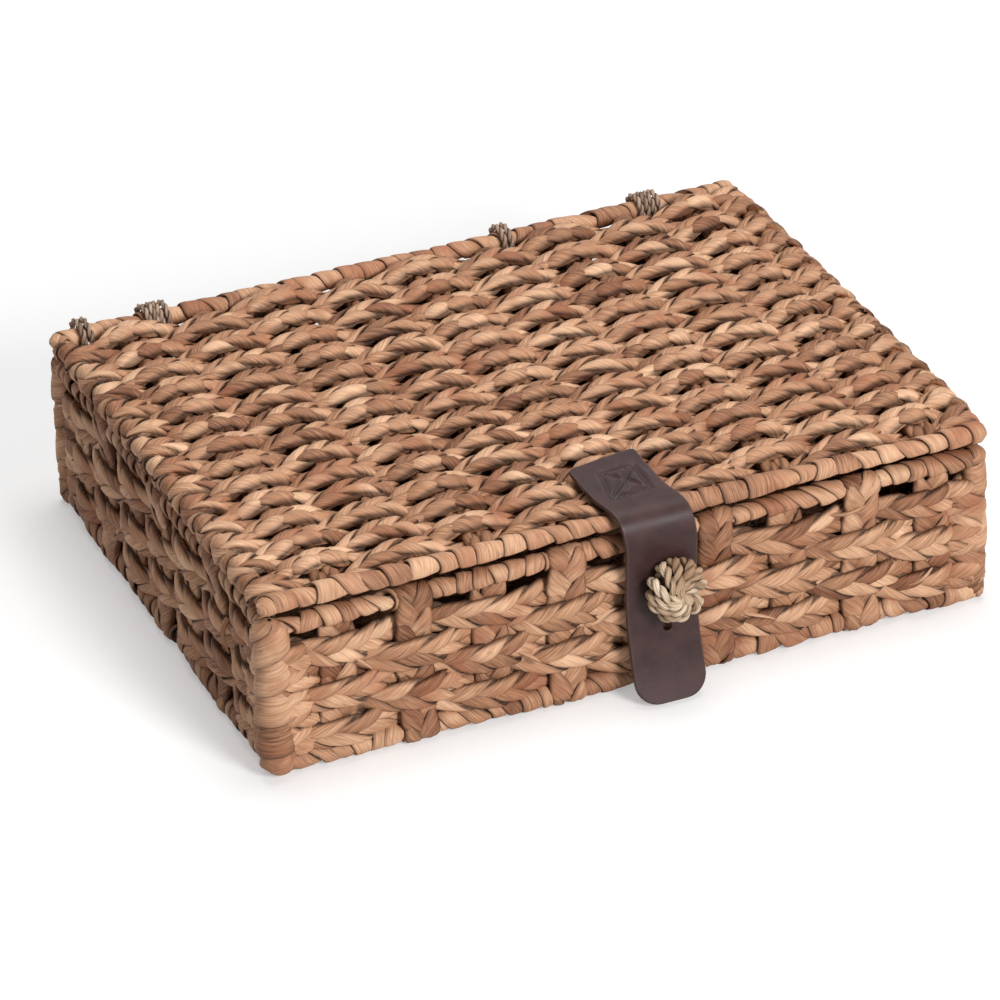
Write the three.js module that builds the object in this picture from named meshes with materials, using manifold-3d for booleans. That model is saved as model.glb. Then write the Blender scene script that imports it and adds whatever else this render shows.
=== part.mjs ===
// A shallow rectangular box woven from flat three-strand plaits over a welded wire frame, with a
// flat woven lid. Twine ties hold the back rod of the lid to the back rod of the rim, so the lid
// turns about its own back rod. A leather strap sewn to the lid bends over its front edge, and a
// slit in it slips over a knotted twine button on the front wall.
// Millimetres, +Z up. The front of the box faces -Y and its long side runs along X.

import * as THREE from 'three';
import { mergeVertices } from 'three/addons/utils/BufferGeometryUtils.js';
import Module from 'manifold-3d';

const wasm = await Module();
wasm.setup();

// Overall size, measured over the wrapped rods
const boxLength = 390;
const boxDepth = 304;
const rimHeight = 83;

// Running fits: between touching pieces, between the closed lid and the rim, and between a rod
// and the plaits that turn round it
const fitGap = 0.3;
const lidSeatGap = 0.4;
const turnGap = 0.5;

// Frame wire and the leaf wound round it
const wireRadius = 2.5;
const crossWireRadius = 2.4;
const postWireRadius = 2.3;
const wrapRadius = 6.2;
const wireSides = 8;
const wrapSides = 12;

// Flat plaits
const plaitThickness = wrapRadius - wireRadius - turnGap;
const plaitGap = 0.3;
const turnSteps = 4;

// Upright plaits of the walls
const uprightWidth = 18;
const uprightThickness = 3;
const uprightEndSpace = 35;
const uprightShift = 5;
const longWallUprights = 9;
const shortWallUprights = 7;
const uprightOverrun = 1.2;

// Rows of the walls
const wallRowPitch = 11;

// Lid weave: paired round cords from front to back, with rows of plait across them
const cordRadius = 3.5;
const cordSides = 6;
const cordPairGap = 0.6;
const cordReachShare = 0.77;
const lidPairs = 13;
const lidBackGap = 2.6;
const bendSteps = 6;

// Floor mat
const floorThickness = 8;
const floorGroove = 1.6;
const floorRows = 26;
const ridgeStartShare = 0.25;
const ridgeEndShare = 0.75;

// Twine ties
const twineRadius = 1.5;
const twineSides = 5;
const twineGap = 0.5;
const tieHalfSteps = 7;
const tieRodClearance = 0.6;
const tieSideGap = 0.5;
const mainTieTurns = 4;
const smallTieTurns = 2;

// The upright that each tie lies beside, counted from the middle one
const leftTieUpright = -4;
const middleTieUpright = 1;
const rightTieUpright = 3;

// Leather strap
const strapWidth = 38;
const strapThickness = 2.4;
const strapShift = 9;
const tabLength = 41;
const tabCornerRadius = 3;
const strapTipRadius = 12;
const strapTipHeight = 4;
const strapFlare = 16;
const strapUpperPull = 24;
const strapLowerPull = 41;
const strapLowerLean = 2.5;
const hingeSides = 12;
const edgeSteps = 6;
const hangSteps = 10;
const slitLength = 26;
const slitRise = 4;
const arcSegments = 4;

// Stitching that holds the strap to the lid
const stitchLength = 25;
const stitchWidth = 20;
const stitchThread = 1.4;
const stitchHeight = 0.8;
const stitchFrontSetback = 2;

// Knotted twine button
const buttonShift = 15;
const buttonRadius = 14.2;
const buttonTallShare = 1.12;
const buttonDepth = 17;
const buttonStrapClearance = 2.9;
const buttonLobes = 9;
const buttonLobeShare = 0.1;
const buttonStepsPerLobe = 3;
const buttonRings = 8;
const shankRadius = 1.8;
const innerKnotRadius = 4;

// Places worked out from the sizes above
const frameHalfX = boxLength / 2 - wrapRadius;
const frameHalfY = boxDepth / 2 - wrapRadius;
const baseHeight = wrapRadius;
const lidHeight = rimHeight + 2 * wrapRadius + lidSeatGap;
const wrapCorner = wrapRadius / Math.cos(Math.PI / wrapSides);
const wrapReach = wrapCorner + fitGap;
const turnRadius = wireRadius + turnGap + plaitThickness / 2;
const wallRows = Math.floor((rimHeight - baseHeight - 2 * wrapRadius) / wallRowPitch);
const lowestRowHeight = baseHeight + wrapRadius + (wallRowPitch + plaitGap) / 2;
const topRowHeight = lowestRowHeight + (wallRows - 1) * wallRowPitch;
const longUprightPitch = (boxLength - 2 * uprightEndSpace) / (longWallUprights - 1);
const shortUprightPitch = (boxDepth - 2 * uprightEndSpace) / (shortWallUprights - 1);
const wallOffset = uprightThickness / 2 + fitGap + plaitThickness / 2;
const lidOffset = cordRadius + fitGap + plaitThickness / 2;
const lidTop = lidHeight + lidOffset + plaitThickness / 2;
const cordSpacing = 2 * cordRadius + cordPairGap;
const tieRadius = wrapCorner + tieRodClearance + twineRadius;
const tieTurnPitch = 2 * twineRadius + twineGap;
const strapMid = lidTop + fitGap + strapThickness / 2;
const strapEdgeRadius = strapMid - lidHeight;
const slitWidth = 2 * (shankRadius + fitGap);
const slitTopHeight = topRowHeight + slitRise;
const buttonStandoff = strapEdgeRadius + strapThickness / 2 + buttonStrapClearance + buttonDepth / 2;
const innerKnotSetback = uprightThickness / 2 + fitGap + innerKnotRadius;

const leafColour = 0xb58863;
const leaf = new THREE.MeshStandardMaterial({ color: leafColour, roughness: 0.85, metalness: 0 });
const cordLeaf = new THREE.MeshStandardMaterial({ color: 0xa5714f, roughness: 0.85, metalness: 0 });
const wire = new THREE.MeshStandardMaterial({ color: 0x6f6a64, roughness: 0.5, metalness: 0.8 });
const twine = new THREE.MeshStandardMaterial({ color: 0xb8a080, roughness: 0.9, metalness: 0 });
const leather = new THREE.MeshStandardMaterial({ color: 0x4a3b39, roughness: 0.55, metalness: 0 });
const thread = new THREE.MeshStandardMaterial({ color: 0x2e2423, roughness: 0.7, metalness: 0 });

// A path through given points that keeps every point, so a tube bends exactly there.
class PointPath extends THREE.Curve {
  constructor(points) {
    super();
    this.points = points;
  }

  getPoint(share) {
    const last = this.points.length - 1;
    const place = share * last;
    const index = Math.min(Math.floor(place), last - 1);
    return this.points[index].clone().lerp(this.points[index + 1], place - index);
  }

  getTangent(share) {
    const last = this.points.length - 1;
    const index = Math.round(share * last);
    const tangent = new THREE.Vector3();
    if (index > 0) {
      tangent.add(this.points[index].clone().sub(this.points[index - 1]).normalize());
    }
    if (index < last) {
      tangent.add(this.points[index + 1].clone().sub(this.points[index]).normalize());
    }
    return tangent.normalize();
  }

  getPointAt(share) {
    return this.getPoint(share);
  }

  getTangentAt(share) {
    return this.getTangent(share);
  }
}

function solidFrom(geometry) {
  const bare = geometry.clone();
  bare.deleteAttribute('normal');
  bare.deleteAttribute('uv');
  const merged = mergeVertices(bare);
  return new wasm.Manifold(new wasm.Mesh({
    numProp: 3,
    vertProperties: new Float32Array(merged.attributes.position.array),
    triVerts: new Uint32Array(merged.index.array),
  }));
}

function geometryFrom(solid) {
  const mesh = solid.getMesh();
  const geometry = new THREE.BufferGeometry();
  geometry.setAttribute('position', new THREE.BufferAttribute(mesh.vertProperties, 3));
  geometry.setIndex(new THREE.BufferAttribute(mesh.triVerts, 1));
  geometry.computeVertexNormals();
  return geometry;
}

function join(geometries) {
  const [first, ...rest] = geometries.map(solidFrom);
  return geometryFrom(rest.reduce((sum, next) => sum.add(next), first));
}

function cut(geometry, cutters) {
  const solid = solidFrom(geometry);
  return geometryFrom(cutters.map(solidFrom).reduce((left, next) => left.subtract(next), solid));
}

function meshOf(name, geometry, material) {
  const mesh = new THREE.Mesh(geometry, material);
  mesh.name = name;
  return mesh;
}

function polygonPoints(radius, sides) {
  return Array.from({ length: sides }, (_, i) => {
    const angle = (i / sides) * 2 * Math.PI;
    return new THREE.Vector2(radius * Math.cos(angle), radius * Math.sin(angle));
  });
}

// A straight bar of regular section between two points, with flats facing the main axes.
function bar(from, to, cornerRadius, sides) {
  const direction = to.clone().sub(from);
  const geometry = new THREE.CylinderGeometry(cornerRadius, cornerRadius, direction.length(), sides);
  geometry.rotateY(Math.PI / sides);
  const up = new THREE.Vector3(0, 1, 0);
  geometry.applyQuaternion(new THREE.Quaternion().setFromUnitVectors(up, direction.normalize()));
  const middle = from.clone().add(to).multiplyScalar(0.5);
  return geometry.translate(middle.x, middle.y, middle.z);
}

function tube(points, radius, sides) {
  return new THREE.ExtrudeGeometry(new THREE.Shape(polygonPoints(radius, sides)), {
    steps: points.length - 1,
    extrudePath: new PointPath(points),
    bevelEnabled: false,
  });
}

function slab(width, depth, height) {
  return new THREE.BoxGeometry(width, depth, height);
}

// The outline of a band of even thickness that follows a centre line.
function bandShape(line, thickness) {
  const half = thickness / 2;
  const offsets = line.map((point, i) => {
    const before = i > 0 ? point.clone().sub(line[i - 1]).normalize() : null;
    const after = i < line.length - 1 ? line[i + 1].clone().sub(point).normalize() : null;
    const along = (before ?? after).clone().add(after ?? before).normalize();
    const across = new THREE.Vector2(-along.y, along.x);
    const edge = after ?? before;
    const stretch = half / across.dot(new THREE.Vector2(-edge.y, edge.x));
    return across.multiplyScalar(stretch);
  });
  const upper = line.map((point, i) => point.clone().add(offsets[i]));
  const lower = line.map((point, i) => point.clone().sub(offsets[i]));
  return new THREE.Shape([...upper, ...lower.reverse()]);
}

function extrude(shape, depth) {
  return new THREE.ExtrudeGeometry(shape, { depth, bevelEnabled: false, curveSegments: arcSegments });
}

// Half a turn round an end rod, from one side of the weave to the other. end is -1 or 1.
function turnArc(weave, end, fromSide) {
  return Array.from({ length: turnSteps + 1 }, (_, i) => {
    const angle = (0.5 - i / turnSteps) * Math.PI;
    return new THREE.Vector2(
      end * (weave.halfSpan + weave.turn * Math.cos(angle)),
      fromSide * weave.turn * Math.sin(angle),
    );
  });
}

// The centre line of one row: round the left rod, over and under the stakes, round the right rod.
function rowLine(weave, side) {
  const firstSide = weave.endsCross ? -side : side;
  const crossings = weave.stakes.flatMap((place, i) => {
    const height = (i % 2 === 0 ? firstSide : -firstSide) * weave.offset;
    return [
      new THREE.Vector2(place - weave.reach, height),
      new THREE.Vector2(place + weave.reach, height),
    ];
  });
  const flat = weave.endsCross
    ? [new THREE.Vector2(weave.halfSpan - weave.turnFlat, side * weave.turn)]
    : [];
  const mirrored = flat.map((point) => new THREE.Vector2(-point.x, point.y));
  return [
    ...turnArc(weave, -1, -side),
    ...mirrored,
    ...crossings,
    ...flat,
    ...turnArc(weave, 1, side),
  ];
}

// A plait that runs along one row and, after a turn round an end rod, back along the next.
function plaitPair(weave, side, foldEnd) {
  const rows = [side, -side].map((rowSide, i) => {
    const row = extrude(bandShape(rowLine(weave, rowSide), plaitThickness), weave.width);
    return row.translate(0, 0, -i * weave.pitch);
  });
  const fold = extrude(bandShape(turnArc(weave, foldEnd, side), plaitThickness), weave.pitch + weave.width);
  return join([...rows, fold.translate(0, 0, -weave.pitch)]);
}

function plaitSingle(weave, side) {
  return extrude(bandShape(rowLine(weave, side), plaitThickness), weave.width);
}

function stakePlaces(count, pitch, shift) {
  return Array.from({ length: count }, (_, i) => (i - (count - 1) / 2) * pitch + shift);
}

// A leaf wrap along a wire. It goes round the corner rods, which enter it from behind and, where
// postSide is 1 or -1, from above or below.
function wrapAlong(length, halfSpan, postSide) {
  const end = new THREE.Vector3(length / 2, 0, 0);
  const body = bar(end.clone().negate(), end, wrapCorner, wrapSides);
  const boreCorner = (wireRadius + fitGap) / Math.cos(Math.PI / wireSides);
  const boreEnd = new THREE.Vector3(halfSpan + boreCorner, 0, 0);
  const bores = [bar(boreEnd.clone().negate(), boreEnd, boreCorner, wireSides)];
  for (const x of [-halfSpan, halfSpan]) {
    const corner = new THREE.Vector3(x, 0, 0);
    bores.push(bar(corner, new THREE.Vector3(x, 2 * wrapRadius, 0), boreCorner, wireSides));
    if (postSide !== 0) {
      bores.push(bar(corner, new THREE.Vector3(x, 0, postSide * 2 * wrapRadius), boreCorner, wireSides));
    }
  }
  return cut(body, bores);
}

// The welded wire rods of a rectangle at one height.
function wireRectangle(height) {
  const x = frameHalfX + wireRadius;
  const rods = [-frameHalfY, frameHalfY].map((y) => bar(
    new THREE.Vector3(-x, y, height),
    new THREE.Vector3(x, y, height),
    wireRadius,
    wireSides,
  ));
  const crossRods = [-frameHalfX, frameHalfX].map((side) => bar(
    new THREE.Vector3(side, -frameHalfY, height),
    new THREE.Vector3(side, frameHalfY, height),
    crossWireRadius,
    wireSides,
  ));
  return [...rods, ...crossRods];
}

function boxFrame() {
  const corners = [-frameHalfX, frameHalfX].flatMap((x) => [-frameHalfY, frameHalfY].map((y) => [x, y]));
  const posts = corners.map(([x, y]) => bar(
    new THREE.Vector3(x, y, baseHeight),
    new THREE.Vector3(x, y, rimHeight),
    postWireRadius,
    wireSides,
  ));
  return join([...wireRectangle(baseHeight), ...wireRectangle(rimHeight), ...posts]);
}

// The base wrap of one wall with the upright plaits that rise from it.
function wallStakes(wrapLength, halfSpan, places) {
  const base = wrapAlong(wrapLength, halfSpan, 1).translate(0, 0, baseHeight);
  const top = rimHeight - wrapRadius - fitGap;
  const foot = baseHeight + (wireRadius + wrapRadius) / 2;
  const uprights = places.map((place) => slab(uprightWidth, uprightThickness, top - foot)
    .translate(place, 0, (top + foot) / 2));
  return join([base, ...uprights]);
}

// The hole that the button's twine opens through the front wall.
function shankHole() {
  return bar(
    new THREE.Vector3(buttonShift, -wrapRadius * 2, topRowHeight),
    new THREE.Vector3(buttonShift, wrapRadius * 2, topRowHeight),
    shankRadius + fitGap,
    wireSides,
  );
}

// One wall in its own frame: X along the wall, Y inwards, Z up, with the wire rods at Y = 0.
function wall(name, long, shift, holes) {
  const group = new THREE.Group();
  const halfSpan = long ? frameHalfX : frameHalfY;
  const wrapLength = long ? boxLength : 2 * (frameHalfY - wrapReach);
  const weave = {
    halfSpan: long ? frameHalfX : frameHalfY - wrapReach - wallOffset - plaitThickness / 2,
    turn: long ? turnRadius : wallOffset,
    turnFlat: wrapRadius,
    stakes: long
      ? stakePlaces(longWallUprights, longUprightPitch, shift)
      : stakePlaces(shortWallUprights, shortUprightPitch, shift),
    reach: uprightWidth / 2 + uprightOverrun,
    offset: wallOffset,
    endsCross: long,
    pitch: wallRowPitch,
    width: wallRowPitch - plaitGap,
  };
  const stakes = cut(wallStakes(wrapLength, halfSpan, weave.stakes), holes);
  for (let row = wallRows - 1, count = 1; row >= 0; row -= 2, count += 1) {
    const side = long ? 1 : -1;
    const foot = lowestRowHeight + row * wallRowPitch - weave.width / 2;
    const plait = row > 0 ? plaitPair(weave, side, count % 2 === 0 ? -1 : 1) : plaitSingle(weave, side);
    group.add(meshOf(`${name}_plait_${count}`, cut(plait.translate(0, 0, foot), holes), leaf));
  }
  group.add(meshOf(`${name}_wall_stakes`, stakes, leaf));
  const rim = meshOf(`${name}_rim_wrap`, wrapAlong(wrapLength, halfSpan, -1), leaf);
  rim.position.z = rimHeight;
  group.add(rim);
  return group;
}

// The floor mat: a slab whose upper face has one ridge for each row of plait.
function floorMat() {
  const halfDepth = frameHalfY - wrapReach;
  const halfLength = frameHalfX - wrapReach;
  const pitch = (2 * halfDepth) / floorRows;
  const groove = floorThickness - floorGroove;
  const outline = [new THREE.Vector2(halfDepth, 0), new THREE.Vector2(halfDepth, groove)];
  for (let row = floorRows - 1; row >= 0; row -= 1) {
    const near = -halfDepth + row * pitch;
    outline.push(new THREE.Vector2(near + pitch * ridgeEndShare, floorThickness));
    outline.push(new THREE.Vector2(near + pitch * ridgeStartShare, floorThickness));
    outline.push(new THREE.Vector2(near, groove));
  }
  outline.push(new THREE.Vector2(-halfDepth, 0));
  const mat = extrude(new THREE.Shape(outline), 2 * halfLength);
  mat.translate(0, 0, -halfLength);
  mat.rotateY(Math.PI / 2);
  mat.rotateX(Math.PI / 2);
  return mat;
}

// Twine wound in loops round the back rods of the rim and the lid, seen from their end.
function tiePoints(turns) {
  const points = [];
  const steps = 2 * (tieHalfSteps + 1);
  for (let step = 0; step <= turns * steps; step += 1) {
    const turnStep = step % steps;
    const upper = turnStep <= tieHalfSteps;
    const angle = ((upper ? turnStep : turnStep - 1) / tieHalfSteps) * Math.PI;
    points.push(new THREE.Vector3(
      (step / steps - turns / 2) * tieTurnPitch,
      tieRadius * Math.cos(angle),
      (upper ? lidHeight : rimHeight) + tieRadius * Math.sin(angle),
    ));
  }
  return points;
}

// The least clear distance between one loop of a tie and the next, measured on its points.
function leastLoopGap(points) {
  const steps = 2 * (tieHalfSteps + 1);
  let least = Infinity;
  points.forEach((point, i) => {
    for (let j = i + steps / 2; j < points.length; j += 1) {
      least = Math.min(least, point.distanceTo(points[j]) - 2 * twineRadius);
    }
  });
  return least;
}

function tie(name, turns, place) {
  const mesh = meshOf(name, tube(tiePoints(turns), twineRadius, twineSides), twine);
  mesh.position.set(place, frameHalfY, 0);
  return mesh;
}

// A cord laid double: two runs side by side that bend into each other at the back.
function lidStake() {
  const front = -(frameHalfY - wrapReach);
  const bendRadius = cordSpacing / 2;
  const back = frameHalfY - wrapReach - bendRadius - cordRadius;
  const bend = Array.from({ length: bendSteps + 1 }, (_, i) => {
    const angle = (i / bendSteps) * Math.PI;
    return new THREE.Vector3(-bendRadius * Math.cos(angle), back + bendRadius * Math.sin(angle), 0);
  });
  const points = [new THREE.Vector3(-bendRadius, front, 0), ...bend, new THREE.Vector3(bendRadius, front, 0)];
  return tube(points, cordRadius, cordSides);
}

function lidWeave() {
  const group = new THREE.Group();
  const nearEdge = frameHalfY - wrapReach;
  const farEdge = frameHalfY - tieRadius - twineRadius - lidBackGap;
  const pitch = (nearEdge + farEdge) / (2 * lidPairs);
  const weave = {
    halfSpan: frameHalfX,
    turn: turnRadius,
    turnFlat: wrapRadius,
    stakes: stakePlaces(longWallUprights, longUprightPitch, uprightShift),
    reach: cordSpacing / 2 + cordRadius * cordReachShare,
    offset: lidOffset,
    endsCross: true,
    pitch,
    width: pitch - plaitGap,
  };
  for (let i = 0; i < lidPairs; i += 1) {
    const plait = meshOf(`lid_plait_${i + 1}`, plaitPair(weave, 1, i % 2 === 0 ? -1 : 1), leaf);
    plait.position.z = nearEdge - weave.width - 2 * i * pitch;
    group.add(plait);
  }
  group.rotation.x = Math.PI / 2;
  return group;
}

function lidGroup() {
  const group = new THREE.Group();
  group.add(meshOf('lid_frame', join(wireRectangle(0)), wire));
  const front = meshOf('lid_front_wrap', wrapAlong(boxLength, frameHalfX, 0), leaf);
  front.position.y = -frameHalfY;
  const back = meshOf('lid_back_wrap', wrapAlong(boxLength, frameHalfX, 0), leaf);
  back.position.y = frameHalfY;
  back.rotation.z = Math.PI;
  group.add(front, back, lidWeave());
  stakePlaces(longWallUprights, longUprightPitch, uprightShift).forEach((place, i) => {
    const stake = meshOf(`lid_stake_${i + 1}`, lidStake(), cordLeaf);
    stake.position.x = place;
    group.add(stake);
  });
  group.position.z = lidHeight;
  return group;
}

// Strap profiles lie in a plane with the first axis along -Y and the second along Z.
function strapBand(line, width) {
  const band = extrude(bandShape(line, strapThickness), width);
  band.translate(0, 0, -width / 2);
  band.rotateX(Math.PI / 2);
  band.rotateZ(-Math.PI / 2);
  return band;
}

function strapTab() {
  const plate = new THREE.Shape();
  const half = strapWidth / 2;
  const corner = tabCornerRadius;
  const start = strapThickness / 2 + fitGap;
  plate.moveTo(-half, start);
  plate.lineTo(half, start);
  plate.lineTo(half, tabLength - corner);
  plate.absarc(half - corner, tabLength - corner, corner, 0, Math.PI / 2, false);
  plate.absarc(-half + corner, tabLength - corner, corner, Math.PI / 2, Math.PI, false);
  const tab = extrude(plate, strapThickness);
  return tab.translate(0, -frameHalfY, strapMid - strapThickness / 2);
}

// The hanging part of the strap: over the lid's edge, down the front, and out at the tip.
function strapFlap() {
  const edge = Array.from({ length: edgeSteps + 1 }, (_, i) => {
    const angle = (i / edgeSteps) * (Math.PI / 2);
    return new THREE.Vector2(
      frameHalfY + strapEdgeRadius * Math.sin(angle),
      lidHeight + strapEdgeRadius * Math.cos(angle),
    );
  });
  const face = frameHalfY + strapEdgeRadius;
  const hang = new THREE.CubicBezierCurve(
    new THREE.Vector2(face, lidHeight),
    new THREE.Vector2(face, lidHeight - strapUpperPull),
    new THREE.Vector2(face + strapLowerLean, strapTipHeight + strapLowerPull),
    new THREE.Vector2(face + strapFlare, strapTipHeight),
  );
  const band = strapBand([...edge, ...hang.getPoints(hangSteps).slice(1)], strapWidth);
  const knuckleEnd = new THREE.Vector3(strapWidth / 2, -frameHalfY, strapMid);
  const knuckle = bar(
    new THREE.Vector3(-knuckleEnd.x, knuckleEnd.y, knuckleEnd.z),
    knuckleEnd,
    strapThickness / 2,
    hingeSides,
  );
  const half = strapWidth / 2;
  const silhouette = new THREE.Shape();
  silhouette.moveTo(half + strapThickness, strapMid + strapThickness);
  silhouette.lineTo(-half - strapThickness, strapMid + strapThickness);
  silhouette.lineTo(-half - strapThickness, strapMid - strapThickness);
  silhouette.lineTo(-half, strapMid - strapThickness);
  silhouette.lineTo(-half, strapTipRadius);
  silhouette.absarc(-half + strapTipRadius, strapTipRadius, strapTipRadius, Math.PI, 1.5 * Math.PI, false);
  silhouette.absarc(half - strapTipRadius, strapTipRadius, strapTipRadius, 1.5 * Math.PI, 2 * Math.PI, false);
  silhouette.lineTo(half, strapMid - strapThickness);
  silhouette.lineTo(half + strapThickness, strapMid - strapThickness);
  const slit = new THREE.Path();
  const slitHalf = slitWidth / 2;
  const slitPlace = buttonShift - strapShift;
  slit.absarc(slitPlace, slitTopHeight - slitHalf, slitHalf, 0, Math.PI, false);
  slit.absarc(slitPlace, slitTopHeight - slitLength + slitHalf, slitHalf, Math.PI, 2 * Math.PI, false);
  silhouette.holes.push(slit);
  const cutter = extrude(silhouette, face + strapFlare);
  cutter.translate(0, 0, strapThickness);
  cutter.rotateX(Math.PI / 2);
  return geometryFrom(solidFrom(join([band, knuckle])).intersect(solidFrom(cutter)));
}

// Thread sewn as a box with a cross through it, lying on the strap.
function strapStitching() {
  const diagonal = Math.hypot(stitchLength, stitchWidth) - stitchThread;
  const turn = Math.atan2(stitchLength, stitchWidth);
  const bars = [
    slab(stitchWidth, stitchThread, stitchHeight).translate(0, (stitchLength - stitchThread) / 2, 0),
    slab(stitchWidth, stitchThread, stitchHeight).translate(0, -(stitchLength - stitchThread) / 2, 0),
    slab(stitchThread, stitchLength, stitchHeight).translate((stitchWidth - stitchThread) / 2, 0, 0),
    slab(stitchThread, stitchLength, stitchHeight).translate(-(stitchWidth - stitchThread) / 2, 0, 0),
    slab(diagonal, stitchThread, stitchHeight).rotateZ(turn),
    slab(diagonal, stitchThread, stitchHeight).rotateZ(-turn),
  ];
  return join(bars);
}

// A flattened ball knot with one lobe for each outer loop of twine.
function buttonKnot() {
  const knot = new THREE.SphereGeometry(1, buttonLobes * buttonStepsPerLobe, buttonRings);
  const points = knot.attributes.position;
  for (let i = 0; i < points.count; i += 1) {
    const angle = Math.atan2(points.getZ(i), points.getX(i));
    const spread = buttonRadius * (1 + buttonLobeShare * Math.cos(buttonLobes * angle));
    points.setXYZ(
      i,
      points.getX(i) * spread,
      (points.getY(i) * buttonDepth) / 2,
      points.getZ(i) * spread * buttonTallShare,
    );
  }
  return geometryFrom(solidFrom(knot));
}

// The twine that carries the button: through the strap's slit and the wall to a knot inside.
function buttonShank() {
  const front = new THREE.Vector3(0, buttonDepth / 2 + fitGap, 0);
  const back = new THREE.Vector3(0, buttonStandoff + innerKnotSetback, 0);
  const knot = new THREE.SphereGeometry(innerKnotRadius, wireSides, wireSides / 2);
  return join([bar(front, back, shankRadius, wireSides), knot.translate(back.x, back.y, back.z)]);
}

const box = new THREE.Group();

const frame = meshOf('box_frame', boxFrame(), wire);
box.add(frame, meshOf('floor_mat', floorMat(), leaf));

const walls = [
  { name: 'front', long: true, shift: uprightShift, holes: [shankHole()], x: 0, y: -1, turn: 0 },
  { name: 'right', long: false, shift: 0, holes: [], x: 1, y: 0, turn: 1 },
  { name: 'back', long: true, shift: -uprightShift, holes: [], x: 0, y: 1, turn: 2 },
  { name: 'left', long: false, shift: 0, holes: [], x: -1, y: 0, turn: 3 },
];
for (const { name, long, shift, holes, x, y, turn } of walls) {
  const group = wall(name, long, shift, holes);
  group.position.set(x * frameHalfX, y * frameHalfY, 0);
  group.rotation.z = turn * (Math.PI / 2);
  box.add(group);
}

const mainTieHalf = (mainTieTurns * tieTurnPitch) / 2 + twineRadius;
const smallTieHalf = (smallTieTurns * tieTurnPitch) / 2 + twineRadius;
const besideUpright = (upright) => uprightShift + upright * longUprightPitch + uprightWidth / 2 + tieSideGap;
box.add(
  tie('hinge_tie_left', mainTieTurns, besideUpright(leftTieUpright) + mainTieHalf),
  tie('hinge_tie_right', mainTieTurns, besideUpright(rightTieUpright) + mainTieHalf),
  tie('hinge_tie_middle', smallTieTurns, besideUpright(middleTieUpright) + smallTieHalf),
  tie('hinge_tie_corner', smallTieTurns, -frameHalfX + wrapReach + tieSideGap + smallTieHalf),
);
console.log(`least gap between loops of a tie: ${leastLoopGap(tiePoints(mainTieTurns)).toFixed(2)} mm`);

const lid = lidGroup();
box.add(lid);

const strap = new THREE.Group();
strap.position.x = strapShift;
const stitching = meshOf('strap_stitching', strapStitching(), thread);
stitching.position.set(
  0,
  -frameHalfY + stitchFrontSetback + strapThickness + stitchLength / 2,
  strapMid + strapThickness / 2 + fitGap + stitchHeight / 2,
);
strap.add(
  meshOf('strap_tab', strapTab(), leather),
  meshOf('strap_flap', strapFlap(), leather),
  stitching,
);
box.add(strap);

const button = new THREE.Group();
button.position.set(buttonShift, -frameHalfY - buttonStandoff, topRowHeight);
button.add(meshOf('button_knot', buttonKnot(), twine), meshOf('button_shank', buttonShank(), twine));
box.add(button);

// The origin is under the middle of the whole part, on the ground.
const extent = new THREE.Box3().setFromObject(box, true);
const middle = extent.getCenter(new THREE.Vector3());
box.position.set(-middle.x, -middle.y, -extent.min.z);

const part = new THREE.Group();
part.add(box);

export default part;
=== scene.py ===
import math

import bmesh
import bpy
import numpy as np
from mathutils import Euler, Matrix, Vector


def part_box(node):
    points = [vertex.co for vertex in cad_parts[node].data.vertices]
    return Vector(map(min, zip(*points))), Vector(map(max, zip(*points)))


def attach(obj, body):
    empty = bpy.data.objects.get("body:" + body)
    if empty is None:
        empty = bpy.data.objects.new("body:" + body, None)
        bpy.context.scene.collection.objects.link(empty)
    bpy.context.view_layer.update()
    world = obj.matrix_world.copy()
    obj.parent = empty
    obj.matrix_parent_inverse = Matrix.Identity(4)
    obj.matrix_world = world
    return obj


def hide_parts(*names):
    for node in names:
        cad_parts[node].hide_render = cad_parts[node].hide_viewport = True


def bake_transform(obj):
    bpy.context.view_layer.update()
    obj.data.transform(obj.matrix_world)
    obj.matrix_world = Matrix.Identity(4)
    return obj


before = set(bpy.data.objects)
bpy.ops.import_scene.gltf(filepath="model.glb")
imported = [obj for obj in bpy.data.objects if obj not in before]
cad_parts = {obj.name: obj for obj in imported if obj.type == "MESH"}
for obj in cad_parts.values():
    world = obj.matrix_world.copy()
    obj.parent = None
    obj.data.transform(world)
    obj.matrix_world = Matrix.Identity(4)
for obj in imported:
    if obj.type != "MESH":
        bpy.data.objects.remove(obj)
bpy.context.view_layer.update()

# A woven lidded box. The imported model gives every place; this script dresses it. Shapes are worked
# out in millimetres, in the model's own frame, and turned to metres when a mesh is made.

MM = 0.001
TURN = 2 * math.pi
UPWARD = np.array([0, 0, 1])


# The corners, middle and size of a node's box, in millimetres


def low(node):
    return np.array(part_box(node)[0]) / MM


def high(node):
    return np.array(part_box(node)[1]) / MM


def middle(node):
    return (low(node) + high(node)) / 2


def span(node):
    return high(node) - low(node)


def add_object(name, data):
    """Puts a mesh, curve, lamp or camera into the scene."""
    made = bpy.data.objects.new(name, data)
    bpy.context.scene.collection.objects.link(made)
    return made


# Places of the rods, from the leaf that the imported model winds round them
ROD_X = middle("right_rim_wrap")[0]
FRONT_Y = middle("front_rim_wrap")[1]
BACK_Y = middle("back_rim_wrap")[1]
MIDDLE_Y = (FRONT_Y + BACK_Y) / 2
RIM_Z = middle("front_rim_wrap")[2]
LID_Z = middle("lid_front_wrap")[2]
ROD_LEAF_RADIUS = span("front_rim_wrap")[2] / 2
BASE_Z = ROD_LEAF_RADIUS

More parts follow.
